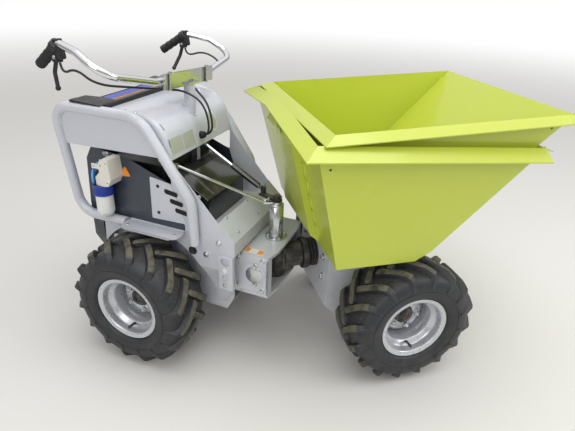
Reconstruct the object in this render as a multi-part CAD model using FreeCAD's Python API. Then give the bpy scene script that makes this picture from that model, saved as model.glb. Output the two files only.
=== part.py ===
import FreeCAD, Part
import math
import os

# Walk-behind articulated mini dumper, millimetres, +X forward, +Z up, ground at z = 0.
# The front unit and its skip lie along +X, ahead of the pivot axis. The rear unit is drawn
# straight behind that axis (x = 0, y = 0) and then turned about it by REST_STEER, so the
# machine stands articulated to the left, as it is parked. SHIFT centres the whole on the origin.

V = FreeCAD.Vector

# driving dimensions
REST_STEER = 38.0            # front unit turned left of the rear unit at rest, degrees
SHIFT = (-66.5, -138.3)      # moves the bounding box's middle over the origin
STEER_LOCK = 42.0            # articulation to each side of straight ahead, degrees
GAP = 0.3                    # seat clearance between curved faces
RUN = 0.05                   # running clearance, shaft in hole, radial
AXLE_X = 390.0               # axle line ahead of and behind the pivot axis
TYRE_R = 227.5               # lug tips
CARCASS_R = 210.0            # tread between the lugs
WHEEL_Z = TYRE_R             # axle height
TRACK_Y = 280.0              # tyre centre plane from the machine's centre plane
TYRE_HALF = 98.0             # half the tyre's section width
LUGS = 16                    # lugs on each side of a tyre
BEAD_R = 103.0               # rim seat
FLANGE_R = 117.5             # rim flange
RIM_HALF = 84.0              # rim flange plane from the tyre's centre plane
HUB_R = 32.0                 # hub boss in the wheel disc
SHAFT_R = 17.0               # axle shaft in the hub
STUDS = 5
STUD_R = 5.0
STUD_CIRCLE_R = 48.0
DISC_IN = 12.0               # wheel disc's bolting plane inboard of the tyre's centre plane
SHEET = 4.0                  # chassis plate
INNER_Y = TRACK_Y - TYRE_HALF - 32.0   # outer face of the longitudinal members
BODY_Y = INNER_Y + 50.0      # outer face of the rear side plates
DECK_Z = 480.0               # underside of the rear deck
ARCH_R = TYRE_R + 12.5       # wheel arch in the side plates
LOOP_R = 17.0                # loop tube radius
LOOP_Y = BODY_Y + LOOP_R + 0.5   # centre plane of each tube loop
HOOD_TOP = 860.0
LOOP_TOP = HOOD_TOP - 4.0    # centre line of the loops' level top
HOOD_T = 3.0
HOOD_Y = LOOP_Y - LOOP_R - GAP   # half width of the hood, between the loops
HOOD_BEND_X = -345.0         # where the level top starts to roll down
HOOD_BEND_R = 58.0
HOOD_REAR = -628.0
HOOD_LEAN = 6.0              # lean of the front face, degrees
HOOD_LIP_Z = 727.0           # lower edge of the front face
COVER_TOP = 654.0            # level back part of the black cover
COVER_Y = INNER_Y - 20.0
COLUMN_X = -330.0            # post under the handlebar
BAR_R = 11.1                 # handlebar tube radius
BAR_Z = 946.0                # handlebar between its clamps
BAR_TILT = 3.0               # the bar stands higher on the right side, degrees
GRIP_R = 16.0
BOX_TOP = 425.0              # pivot box, top face
BOX_BOTTOM = 265.0
BOX_REAR = -90.0
SLOPE_TOP = (-121.0, 542.0)  # x, z of the side plates' sloping edge under the cover plate
SLOPE_LOW = (-64.0, 486.0)
CASE_GAP = 90.0              # half length of the floor's opening round the axle case
BOX_FRONT = 50.0
PIN_R = 18.0                 # articulation pin
BARREL_R = 40.0              # barrel the pin runs in
POST_R = 20.0                # plated post above the box
POST_TOP = 556.0
ROLL_Z = 345.0               # axis of the roll bearing between the two units
ROLL_R = 30.0                # roll spigot
FRONT_X = 150.0              # rear face of the front chassis
FRONT_Y = INNER_Y            # half width of the front chassis
SKIP_WALL = 3.0
TIP_X = 540.0                # tipping axis in the straight front unit
TIP_Z = 455.0
TIP_PIN_R = 10.0


def box(x0, x1, y0, y1, z0, z1):
    return Part.makeBox(x1 - x0, y1 - y0, z1 - z0, V(x0, y0, z0))


def cyl(r, base, axis, length):
    return Part.makeCylinder(r, length, V(*base), V(*axis))


def plateXZ(points, y0, y1):
    """Flat plate from an outline in x and z, between two y planes."""
    pts = [V(x, y0, z) for x, z in points]
    face = Part.Face(Part.makePolygon(pts + [pts[0]]))
    return face.extrude(V(0, y1 - y0, 0))


def plateXY(points, z0, z1):
    pts = [V(x, y, z0) for x, y in points]
    face = Part.Face(Part.makePolygon(pts + [pts[0]]))
    return face.extrude(V(0, 0, z1 - z0))


def mirrorY(shape):
    return shape.mirror(V(0, 0, 0), V(0, 1, 0))


def bothSides(shape):
    return shape.fuse(mirrorY(shape))


def fuse(parts):
    out = parts[0]
    if len(parts) > 1:
        out = out.multiFuse(parts[1:])
    return out


def cutAll(shape, tools):
    for tool in tools:
        shape = shape.cut(tool)
    return shape


def bentPath(points, radii):
    """Wire of straight runs joined by tangent arcs; radii has one value per inner point."""
    edges = []
    last = points[0]
    for i in range(1, len(points) - 1):
        p, q, s = points[i - 1], points[i], points[i + 1]
        a = (p - q).normalize()
        b = (s - q).normalize()
        half = a.getAngle(b) / 2.0
        trim = radii[i - 1] / math.tan(half)
        start = q + a * trim
        end = q + b * trim
        mid = (a + b).normalize()
        centre = q + mid * (radii[i - 1] / math.sin(half))
        top = centre - mid * radii[i - 1]
        edges.append(Part.makeLine(last, start))
        edges.append(Part.Arc(start, top, end).toShape())
        last = end
    edges.append(Part.makeLine(last, points[-1]))
    return Part.Wire(edges)


def rod(points, radii, r):
    """Round bar swept along a bent path."""
    wire = bentPath([V(*p) for p in points], radii)
    first = V(*points[0])
    along = V(*points[1]) - first
    ring = Part.Wire(Part.makeCircle(r, first, along))
    return wire.makePipeShell([ring], True, False)


def hexBolt(centre, axis, across, height):
    """Hexagon head standing on a face."""
    a = V(*axis).normalize()
    side = V(0, 0, 1) if abs(a.z) < 0.9 else V(1, 0, 0)
    u = a.cross(side).normalize()
    w = a.cross(u)
    c = V(*centre)
    r = across / math.sqrt(3.0)
    pts = []
    for k in range(6):
        t = math.radians(60 * k)
        pts.append(c + u * (r * math.cos(t)) + w * (r * math.sin(t)))
    return Part.Face(Part.makePolygon(pts + [pts[0]])).extrude(a * height)


def revolveY(profile, y0):
    """Solid of revolution about the wheel axis from a closed outline of (y, r)."""
    pts = [V(0, y0 + y, r) for y, r in profile]
    face = Part.Face(Part.makePolygon(pts + [pts[0]]))
    return face.revolve(V(0, y0, 0), V(0, 1, 0), 360)


# wheel, drawn about the y axis with its outer side towards -Y

# tyre section, half of it: distance from the centre plane, radius
TYRE_HALF_SECTION = [
    (RIM_HALF - 5.4, BEAD_R + GAP),
    (RIM_HALF - 3.4, FLANGE_R + 2.0),
    (TYRE_HALF, 142.0),
    (TYRE_HALF, 172.0),
    (TYRE_HALF - 8.0, 198.0),
    (TYRE_HALF - 36.0, 207.0),
]


def lug(turn, side):
    """One tread bar: a tapered prism from past the centre line to the shoulder's flank.

    Columns: y, radius of foot, radius of top, angle along the tread, half width foot, top.
    """
    rows = [
        (-6.0, 203.0, TYRE_R, 0.0, 13.0, 9.0),
        (TYRE_HALF - 46.0, 200.0, TYRE_R - 3.0, 15.5, 13.5, 9.5),
        (TYRE_HALF - 2.0, 168.0, TYRE_R - 17.0, 24.0, 14.0, 10.0),
    ]
    wires = []
    for y, foot, top, ang, wf, wt in rows:
        t = math.radians(turn + ang)
        pts = []
        for r, w in ((foot, -wf), (top, -wt), (top, wt), (foot, wf)):
            # the bar runs at about 45 degrees, so its width shares both directions
            across, yy = w * 0.72, side * (y - w * 0.62)
            pts.append(V(r * math.sin(t) + across * math.cos(t), yy,
                         r * math.cos(t) - across * math.sin(t)))
        wires.append(Part.makePolygon(pts + [pts[0]]))
    bar = Part.makeLoft(wires, True, True)
    if bar.Volume < 0:
        bar.reverse()
    return bar


def tyre():
    half = TYRE_HALF_SECTION
    outline = [(-y, r) for y, r in half]
    outline += [(0.0, CARCASS_R)]
    outline += [(y, r) for y, r in reversed(half)]
    body = revolveY(outline, 0.0)
    step = 360.0 / LUGS
    lugs = []
    for k in range(LUGS):
        lugs.append(lug(k * step, 1.0))
        lugs.append(lug((k + 0.5) * step, -1.0))
    shape = body.multiFuse(lugs)
    return shape


def studCircle():
    """Centres of the wheel studs in the wheel's own x and z."""
    out = []
    for k in range(STUDS):
        t = math.radians(90 + 360.0 / STUDS * k)
        out.append((STUD_CIRCLE_R * math.sin(t), STUD_CIRCLE_R * math.cos(t)))
    return out


def rim():
    """Pressed steel wheel: flanged barrel with a stepped well, disc set far inboard."""
    t = 3.0
    outer = [
        (-RIM_HALF, FLANGE_R),
        (-RIM_HALF + 3.0, FLANGE_R),
        (-RIM_HALF + 5.0, BEAD_R),
        (-48.0, BEAD_R - 3.0),
        (-40.0, 84.0),
        (18.0, 84.0),
        (30.0, BEAD_R - 3.0),
        (RIM_HALF - 5.0, BEAD_R),
        (RIM_HALF - 3.0, FLANGE_R),
        (RIM_HALF, FLANGE_R),
        (RIM_HALF, FLANGE_R - 4.0),
        (RIM_HALF - 3.0, BEAD_R - t),
        (30.0 + t, BEAD_R - 3.0 - t),
        (18.0 + t, 84.0 - t),
        (-40.0 - t, 84.0 - t),
        (-48.0 - t, BEAD_R - 3.0 - t),
        (-RIM_HALF + 3.0, BEAD_R - t),
        (-RIM_HALF, FLANGE_R - 4.0),
    ]
    barrel = revolveY(outer, 0.0)
    disc = revolveY([
        (0.0, 84.0 - t + 0.5),
        (5.0, 84.0 - t + 0.5),
        (5.0, 74.0),
        (-9.0, 64.0),
        (-9.0, HUB_R + GAP),
        (-14.0, HUB_R + GAP),
        (-14.0, 66.0),
        (0.0, 76.0),
    ], DISC_IN)
    wheel = barrel.fuse(disc)
    holes = [cyl(STUD_R + GAP, (x, DISC_IN - 20.0, z), (0, 1, 0), 16.0)
             for x, z in studCircle()]
    return cutAll(wheel, holes)


def hub():
    """Boss through the wheel disc with its nuts and the keyed shaft end."""
    y = DISC_IN
    parts = [cyl(HUB_R, (0, y - 26, 0), (0, 1, 0), 60.0 - y)]
    parts.append(cyl(60.0, (0, y - 9, 0), (0, 1, 0), 8.0))
    for x, z in studCircle():
        parts.append(hexBolt((x, y - 14.0, z), (0, -1, 0), 17.0, 11.0))
        parts.append(cyl(STUD_R, (x, y - 30.0, z), (0, 1, 0), 22.0))
    body = fuse(parts)
    return body.cut(cyl(SHAFT_R + RUN, (0, y - 27, 0), (0, 1, 0), 62.0))


def place(shape, x, y, outward):
    """Put a wheel part at its axle end; outward is -1 for the right side, +1 for the left."""
    s = shape.copy()
    if outward > 0:
        s = mirrorY(s)
    s.translate(V(x, y * outward, WHEEL_Z))
    return s


# rear unit

def rearChassis():
    side = plateXZ([
        (-587, 366), (-581, 441), (-538, DECK_Z + SHEET), (-243, DECK_Z + SHEET),
        (-243, 506), (-286, 640), (-283, 724), SLOPE_TOP, SLOPE_LOW, (-64, 300),
        (-128, 198), (-587, 198),
    ], -BODY_Y, -BODY_Y + SHEET)
    side = side.cut(cyl(ARCH_R, (-AXLE_X, -BODY_Y - 1, WHEEL_Z), (0, 1, 0), SHEET + 2))
    side = side.cut(box(-700, -AXLE_X, -BODY_Y - 1, -BODY_Y + SHEET + 1, 100, 364))
    edge = BODY_Y + 62
    tray = plateXY([(-465, -BODY_Y), (-234, -BODY_Y), (-234, 14 - edge), (-246, -edge),
                    (-465, -edge)], DECK_Z, DECK_Z + SHEET)
    lip = box(-465, -246, -edge, -edge + 3, DECK_Z - 22, DECK_Z + 1)
    member = plateXZ([(-586, 300), (-586, DECK_Z), (BOX_REAR, DECK_Z), (BOX_REAR, 230),
                      (-120, 170), (-520, 170)], -INNER_Y, -INNER_Y + 5)
    member = member.cut(cyl(36.0, (-AXLE_X, -INNER_Y - 1, WHEEL_Z), (0, 1, 0), 7))
    half = fuse([side, tray, lip, member])
    deck = box(-586, BOX_REAR, -BODY_Y + SHEET, BODY_Y - SHEET, DECK_Z, DECK_Z + SHEET)
    floor = box(-520, -120, -INNER_Y, INNER_Y, 170, 174)
    floor = floor.cut(box(-AXLE_X - CASE_GAP, -AXLE_X + CASE_GAP, -50, 66, 160, 180))
    rearWall = box(-586, -582, -BODY_Y + SHEET, BODY_Y - SHEET, 365, DECK_Z)
    mid = box(-250, -246, -INNER_Y, INNER_Y, 174, DECK_Z)
    front = box(BOX_REAR - SHEET, BOX_REAR, -BODY_Y, BODY_Y, 240, DECK_Z)
    return fuse([half, mirrorY(half), deck, floor, rearWall, mid, front])


def coverPlate():
    """Sloping plate in front of the battery bay, seated on the side plates' edges."""
    a, low = SLOPE_TOP, SLOPE_LOW
    dx, dz = low[0] - a[0], low[1] - a[1]
    n = math.hypot(dx, dz)
    nx, nz = -dz / n * 3.0, dx / n * 3.0
    b = (low[0] + SHEET, low[1] + SHEET * dz / dx)
    plate = plateXZ([a, b, (b[0] + nx, b[1] + nz), (a[0] + nx, a[1] + nz)],
                    -BODY_Y, BODY_Y)
    nose = box(low[0], low[0] + SHEET, -BODY_Y, BODY_Y, BOX_TOP + 6, low[1] - 2)
    return plate.fuse(nose)


def loops():
    path = [(-199, -LOOP_Y, 457), (-203, -LOOP_Y, 606), (-371, -LOOP_Y, LOOP_TOP),
            (-711, -LOOP_Y, LOOP_TOP), (-660, -LOOP_Y, 478), (-468, -LOOP_Y, 478)]
    tube = rod(path, [80, 100, 60, 70], LOOP_R)
    web = plateXZ([(-694, 729), (-293, 740), (-341, 812), (-377, 842), (-424, LOOP_TOP),
                   (-672, LOOP_TOP), (-690, 843), (-699, 780)], -LOOP_Y - 3, -LOOP_Y + 3)
    # shelf the hood lies on, and the tabs welded to the side plate
    shelf = box(HOOD_REAR + 3, -400, -LOOP_Y, -HOOD_Y + 14, HOOD_TOP - HOOD_T - 4, HOOD_TOP - HOOD_T)
    rearTab = box(-620, -562, -BODY_Y - 3, -BODY_Y, 456, 488)
    frontTab = box(-222, -180, -BODY_Y - 3, -BODY_Y, 440, 478)
    return fuse([tube, web, shelf, rearTab, frontTab])


def hoodFace(z):
    """Outer x of the hood's front face at a height."""
    t = math.radians(HOOD_LEAN)
    endX = HOOD_BEND_X + HOOD_BEND_R * math.cos(t)
    endZ = HOOD_TOP - HOOD_BEND_R + HOOD_BEND_R * math.sin(t)
    return endX + (endZ - z) * math.tan(t)


def hood():
    """Folded sheet over the bay, level on top and rolled down at the front."""
    centreZ = HOOD_TOP - HOOD_BEND_R
    t1 = math.radians(HOOD_LEAN)
    t2 = math.radians(HOOD_LEAN / 2 + 45)

    def onArc(r, t):
        return V(HOOD_BEND_X + r * math.cos(t), -HOOD_Y, centreZ + r * math.sin(t))

    r0, r1 = HOOD_BEND_R, HOOD_BEND_R - HOOD_T
    x0 = HOOD_REAR
    lipX = hoodFace(HOOD_LIP_Z)
    p0, p1 = V(x0, -HOOD_Y, HOOD_TOP), V(HOOD_BEND_X, -HOOD_Y, HOOD_TOP)
    q0, q1 = V(x0, -HOOD_Y, HOOD_TOP - HOOD_T), V(HOOD_BEND_X, -HOOD_Y, HOOD_TOP - HOOD_T)
    lip = V(lipX, -HOOD_Y, HOOD_LIP_Z)
    lipIn = V(lipX - HOOD_T / math.cos(t1), -HOOD_Y, HOOD_LIP_Z)
    wire = Part.Wire([
        Part.makeLine(p0, p1), Part.Arc(p1, onArc(r0, t2), onArc(r0, t1)).toShape(),
        Part.makeLine(onArc(r0, t1), lip), Part.makeLine(lip, lipIn),
        Part.makeLine(lipIn, onArc(r1, t1)),
        Part.Arc(onArc(r1, t1), onArc(r1, t2), q1).toShape(),
        Part.makeLine(q1, q0), Part.makeLine(q0, p0),
    ])
    return Part.Face(wire).extrude(V(0, 2 * HOOD_Y, 0))


def consolePad():
    y = LOOP_Y + 8.0
    pad = plateXZ([(-632, HOOD_TOP), (-512, HOOD_TOP), (-512, HOOD_TOP + 16),
                   (-632, HOOD_TOP + 22)], -y, y)
    slotL = box(-640, -500, LOOP_Y - LOOP_R - 2, y + 1, HOOD_TOP - 2, LOOP_TOP + LOOP_R + 0.5)
    slotR = mirrorY(slotL)
    return cutAll(pad, [slotL, slotR])


def bodyPanels():
    """Dark side panels of the battery bay and the panel across the back."""
    side = plateXZ([(-598, 722), (-447, 706), (-288, 644), (-245, 506), (-245, 486),
                    (-536, 486), (-583, 444), (-589, 440), (-589, 330), (-634, 382),
                    (-633, 517), (-622, 680)], -BODY_Y, -BODY_Y + 3)
    back = plateXZ([(-598, 722), (-622, 680), (-633, 517), (-634, 382), (-589, 330),
                    (-589, 336), (-630, 383), (-629, 517), (-618, 679), (-595, 719)],
                   -BODY_Y + 3, BODY_Y - 3)
    return fuse([side, mirrorY(side), back])


def ventPlate():
    """Plate with three long slots, screwed to the bay's side."""
    p = plateXZ([(-371, 655), (-294, 640), (-252, 508), (-376, 503)],
                -BODY_Y - 2, -BODY_Y)
    slots = []
    for x, z in ((-306, 606), (-298, 573), (-290, 540)):
        s = box(x - 14, x + 14, -BODY_Y - 3, -BODY_Y + 1, z - 5, z + 5)
        s = s.fuse(cyl(5, (x - 14, -BODY_Y - 3, z), (0, 1, 0), 4))
        s = s.fuse(cyl(5, (x + 14, -BODY_Y - 3, z), (0, 1, 0), 4))
        slots.append(s)
    p = cutAll(p, slots)
    screws = []
    for x, z in ((-352, 620), (-354, 528)):
        screws.append(cyl(6, (x, -BODY_Y - 5, z), (0, 1, 0), 3.2))
    return fuse([p] + screws)


def batteryBlock():
    return box(-560, -348, -INNER_Y, INNER_Y, DECK_Z + SHEET, 680)


def batteryCover():
    """Black cover under the front slope, level at the back where the strut stands."""
    return plateXZ([(-345, DECK_Z + SHEET), (-194, DECK_Z + SHEET), (-194, 578),
                    (-320, COVER_TOP), (-345, COVER_TOP)], -COVER_Y, COVER_Y)


def tilted(item):
    """Handlebar parts leaned sideways about the middle of the hood."""
    out = item.copy()
    out.rotate(V(0, 0, HOOD_TOP + 5), V(1, 0, 0), -BAR_TILT)
    return out


def column():
    post = tilted(cyl(15.0, (COLUMN_X, 0, HOOD_TOP + 2), (0, 0, 1), BAR_Z - 16 - HOOD_TOP))
    foot = box(COLUMN_X - 74, COLUMN_X + 22, -34, 34, HOOD_TOP, HOOD_TOP + 6)
    return post.fuse(foot)


BAR_X = COLUMN_X - 18.0
BAR = [(BAR_X, 0, BAR_Z), (BAR_X, -155, BAR_Z), (-366, -367, 986), (-459, -351, 1036),
       (-546, -324, 1051), (-643, -303, 984.5)]


def barSide(r):
    return rod(BAR, [80, 66, 60, 40], r)


def handlebar():
    return bothSides(barSide(BAR_R))


CLAMP_Y = (-108.0, 108.0)
CLAMP_BOLT_X = COLUMN_X + 10.0
CLAMP_BOLT_R = 4.0


def barClamp():
    """Bracket plate on the column with two saddles round the bar."""
    x, z = COLUMN_X, BAR_Z
    back = box(x - 2, x + 6, -142, 142, z - 24, z + 24)
    base = box(x - 24, x + 20, -34, 34, z - 20, z - 13)
    saddles = []
    for y in CLAMP_Y:
        s = cyl(BAR_R + 7, (BAR_X, y - 9, z), (0, 1, 0), 18)
        s = s.fuse(box(BAR_X + 6, x + 6, y - 9, y + 9, z - 11, z + 11))
        saddles.append(s)
    body = fuse([back, base] + saddles)
    body = body.cut(cyl(BAR_R + GAP, (BAR_X, -144, z), (0, 1, 0), 288))
    body = body.cut(cyl(15.0 + GAP, (x, 0, z - 46), (0, 0, 1), 40.0))
    for y in CLAMP_Y:
        body = body.cut(cyl(CLAMP_BOLT_R + GAP, (CLAMP_BOLT_X, y - 14, z - 30), (0, 0, 1), 70))
    return body


def clampBolts():
    parts = []
    for y in CLAMP_Y:
        bolt = cyl(CLAMP_BOLT_R, (CLAMP_BOLT_X, y - 14, BAR_Z - 26), (0, 0, 1), 56)
        nut = hexBolt((CLAMP_BOLT_X, y - 14, BAR_Z + 24), (0, 0, 1), 13, 6)
        parts.append(tilted(bolt.fuse(nut)))
    return parts


GRIP_LENGTH = 92.0


def alongGrip(t):
    """Point on the bar's straight end, 0 at the grip's inner end, 1 at its outer end."""
    a, b = V(*BAR[4]), V(*BAR[5])
    d = (b - a).normalize()
    return b - d * (1 - t) * GRIP_LENGTH, d


def grips():
    b, d = alongGrip(1.0)
    s = Part.makeCylinder(GRIP_R, GRIP_LENGTH + 3.0, b + d * 3.0, d * -1.0)
    core = Part.makeCylinder(BAR_R + GAP, GRIP_LENGTH + 3.0, b + d * GAP, d * -1.0)
    return s.cut(core)


def leverCentre():
    a, d = alongGrip(0.0)
    return a - d * 12.0, d


def levers():
    c, d = leverCentre()
    ring = Part.makeCylinder(19.0, 20.0, c - d * 10.0, d)
    pod = Part.makeCylinder(12.0, 56.0, c + V(8, 0, 20), V(0.2, 0, -1))
    perch = Part.makeBox(24, 18, 34, V(c.x - 12, c.y - 9, c.z - 44))
    tail = V(-592, -300, 918)
    start = V(c.x - 2, c.y, c.z - 30)
    blade = rod([tuple(start), tuple(start + V(-14, 0, -44)), tuple(tail)], [22], 7.0)
    body = fuse([ring, pod, perch, blade])
    grip = Part.makeCylinder(GRIP_R + GAP, 60.0, c + d * 12.0, d)
    return cutAll(body, [barSide(BAR_R + GAP), grip]).Solids[0]


GLAND = (-8.0, 758.0)        # y and z of the gland on the hood's front face
GLAND_LENGTH = 16.0


def glandAxis():
    t = math.radians(HOOD_LEAN)
    return V(math.cos(t), 0, math.sin(t))


def cables():
    """Two control cables, each whole, from the lever perches to the gland."""
    c, d = leverCentre()
    r = 3.5
    n = glandAxis()
    mouth = V(hoodFace(GLAND[1]), GLAND[0], GLAND[1]) + n * (GLAND_LENGTH + GAP)
    out = []
    for s, dy, away in ((-1, -6.0, 0.0), (1, 6.0, 7.0)):
        end = mouth + V(0, dy, 0)
        turn = end + n * (26.0 + away)
        high = [V(c.x + 8, s * -c.y, c.z - 44 - GAP), V(c.x + 12, s * -c.y, c.z - 76),
                V(-478, s * 340, 992), V(-404, s * 350, 956), V(-378, s * 225, 936),
                V(-372, s * 80, 912), V(COLUMN_X + 2, s * 29, 906)]
        lean = FreeCAD.Rotation(V(1, 0, 0), -BAR_TILT)
        foot = V(0, 0, HOOD_TOP + 5)
        path = [tuple(lean.multVec(p - foot) + foot) for p in high]
        path += [(-262 + away, end.y, 868), tuple(turn), tuple(end)]
        out.append(rod(path, [16, 30, 36, 36, 30, 20, 22, 18], r))
    return out


def gland():
    return Part.makeCylinder(13.0, GLAND_LENGTH, V(hoodFace(GLAND[1]), GLAND[0], GLAND[1]),
                             glandAxis())


PLUG_X = -534.0              # axis of the socket, collar and plug
PLUG_OUT = 35.0              # the same axis, out from the side panel
INLET_LOW = 601.0            # mouth of the inlet, where the collar is screwed on
COLLAR_LOW = 563.0
PLUG_LOW = 500.0
LID_PIN = (-545.0, 682.0)    # hinge line of the round lid, along y
LID_PIN_R = 3.0


def chargeInlet():
    """White surface box of the charging inlet on the right side panel."""
    y = -BODY_Y
    body = plateXZ([(-526, 612), (-526, 692), (-514, 706), (-482, 708), (-474, 640),
                    (-490, 612)], y - 66, y)
    mouth = plateXZ([(-547, INLET_LOW), (-505, INLET_LOW), (-490, 630), (-526, 664),
                     (-547, 636)], y - 62, y - 6)
    x, z = LID_PIN
    ears = [box(x - 7, x + 22, y - 55, y - 51, z - 8, z + 8),
            box(x - 7, x + 22, y - 19, y - 15, z - 8, z + 8),
            cyl(LID_PIN_R, (x, y - 55, z), (0, 1, 0), 40)]
    return fuse([body, mouth] + ears)


def chargeCollar():
    return cyl(33.0, (PLUG_X, -BODY_Y - PLUG_OUT, COLLAR_LOW), (0, 0, 1),
               INLET_LOW - COLLAR_LOW)


def chargePlug():
    y = -BODY_Y - PLUG_OUT
    top = cyl(29.0, (PLUG_X, y, PLUG_LOW + 14), (0, 0, 1), COLLAR_LOW - PLUG_LOW - 14)
    tip = Part.makeCone(23.0, 28.5, 14.0, V(PLUG_X, y, PLUG_LOW), V(0, 0, 1))
    return top.fuse(tip)


def chargeLid():
    """Round lid hanging open on its pin."""
    y = -BODY_Y - PLUG_OUT
    x, z = LID_PIN
    disc = cyl(32.0, (x - 11, y, z - 41), (-1, 0, 0), 5.0)
    barrel = cyl(6.0, (x, y - 13, z), (0, 1, 0), 26.0)
    arm = box(x - 14, x - 3, y - 9, y + 9, z - 24, z)
    body = fuse([disc, barrel, arm])
    return body.cut(cyl(LID_PIN_R + RUN, (x, y - 40, z), (0, 1, 0), 80.0))


def lashingPlate():
    p = box(-116, -64, -BODY_Y - 10, -BODY_Y, 300, 428)
    p = p.cut(cyl(16.0, (-92, -BODY_Y - 11, 408), (0, 1, 0), 12))
    p = p.cut(cyl(7.0, (-92, -BODY_Y - 11, 350), (0, 1, 0), 12))
    p = p.cut(cyl(7.0, (-92, -BODY_Y - 11, 318), (0, 1, 0), 12))
    return p


def bung():
    t = math.radians(48.0)
    r = ARCH_R + 17.0
    return cyl(15.0, (-AXLE_X + r * math.cos(t), -BODY_Y - 3, WHEEL_Z + r * math.sin(t)),
               (0, 1, 0), 3.0)


def pivotBox():
    top = plateXY([(BOX_REAR, -INNER_Y), (BOX_FRONT - 12, -INNER_Y),
                   (BOX_FRONT, 60 - INNER_Y), (BOX_FRONT, INNER_Y - 60),
                   (BOX_FRONT - 12, INNER_Y), (BOX_REAR, INNER_Y)],
                  BOX_TOP - 10, BOX_TOP)
    bottom = top.copy()
    bottom.translate(V(0, 0, BOX_BOTTOM - BOX_TOP + 10))
    wall = box(BOX_REAR, BOX_FRONT - 10, -INNER_Y, -INNER_Y + 8, BOX_BOTTOM, BOX_TOP)
    lip = box(BOX_FRONT - 18, BOX_FRONT - 10, -INNER_Y, -INNER_Y + 26, BOX_BOTTOM, BOX_TOP)
    back = box(-64, -56, -INNER_Y, INNER_Y, BOX_BOTTOM, BOX_TOP)
    body = fuse([top, bottom, wall, lip, mirrorY(wall), mirrorY(lip), back])
    body = body.cut(cyl(PIN_R + RUN, (0, 0, BOX_BOTTOM - 1), (0, 0, 1), 200))
    cover = []
    cx, cz = -14.0, 348.0
    for s in (-1,):
        pts = []
        for dx, dz in ((-44, 8), (-20, 40), (22, 40), (44, 6), (22, -38), (-20, -38)):
            pts.append((cx + dx, cz + dz))
        cover.append(plateXZ(pts, -INNER_Y - 4, -INNER_Y))
        for dx, dz in ((-26, 22), (24, 22), (-26, -22), (24, -22)):
            cover.append(hexBolt((cx + dx, -INNER_Y - 4, cz + dz), (0, -1, 0), 8, 3))
        for x, z in ((BOX_REAR + 14, BOX_TOP - 16), (BOX_FRONT - 26, BOX_TOP - 16),
                     (BOX_REAR + 14, BOX_BOTTOM + 16), (BOX_FRONT - 26, BOX_BOTTOM + 16)):
            cover.append(hexBolt((x, -INNER_Y, z), (0, -1, 0), 13, 6))
    one = fuse([body] + cover)
    return fuse([one, mirrorY(fuse(cover))])


def pivotPost():
    """Plated post over the box that guides the pin's upper end."""
    foot = cyl(39.0, (0, 0, BOX_TOP), (0, 0, 1), 8.0)
    post = cyl(POST_R, (0, 0, BOX_TOP), (0, 0, 1), POST_TOP - BOX_TOP)
    bolts = []
    for k in range(4):
        t = math.radians(45 + 90 * k)
        bolts.append(hexBolt((31 * math.cos(t), 31 * math.sin(t), BOX_TOP + 8), (0, 0, 1), 10, 5))
    body = fuse([foot, post] + bolts)
    return body.cut(cyl(STEM_R + RUN, (0, 0, BOX_TOP - 1), (0, 0, 1), 200))


STEM_R = 10.0                # steering stem inside the post
STAY_REAR = (-274.0, 16.0 - BODY_Y, 709.0)
STAY_FRONT = (-36.0, -19.0, 560.0)
STAY_TURN = 28.0             # direction of the stay seen from above, degrees off -X


def stayRod():
    """Thin plated stay from the side plate's top corner to the eye on the post."""
    a = V(*STAY_REAR)
    b = V(*STAY_FRONT)
    d = (b - a).normalize()
    bar = Part.makeCylinder(5.0, (b - a).Length, a, d)
    lug1 = box(a.x - 10, a.x + 8, -BODY_Y + SHEET, a.y + 4, a.z - 12, a.z + 6)
    eye = cyl(16.0, (0, 0, POST_TOP + GAP), (0, 0, 1), 7.0)
    link = box(-46, -8, -7, 7, POST_TOP + GAP, POST_TOP + GAP + 7.0)
    link.rotate(V(0, 0, 0), V(0, 0, 1), STAY_TURN)
    body = fuse([bar, lug1, eye, link])
    return body.cut(cyl(STEM_R + RUN, (0, 0, POST_TOP - 8), (0, 0, 1), 30))


# gas damper between the black cover and the arm on the steering stem
DAMP_BASE = (-300.0, 22.0, 722.0)
BALL_R = 8.0
ARM_R = 63.0
ARM_DEG = 161.6 - REST_STEER # arm direction in the straight front unit
ARM_LOW = 566.0              # arm plate's underside
PIN_Z = 587.0                # centre of the damper's lower eye


def armPin(steer):
    t = math.radians(ARM_DEG + steer)
    return V(ARM_R * math.cos(t), ARM_R * math.sin(t), PIN_Z)


def damperLine():
    base = V(*DAMP_BASE)
    pin = armPin(REST_STEER)
    return base, pin, (pin - base).normalize(), (pin - base).Length


def turnedAlong(outline, base, d):
    """Solid turned about z from an outline in x and z, then laid along a direction."""
    shape = Part.Face(outline).revolve(V(0, 0, 0), V(0, 0, 1), 360)
    shape.Placement = FreeCAD.Placement(base, FreeCAD.Rotation(V(0, 0, 1), d))
    return shape


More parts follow.
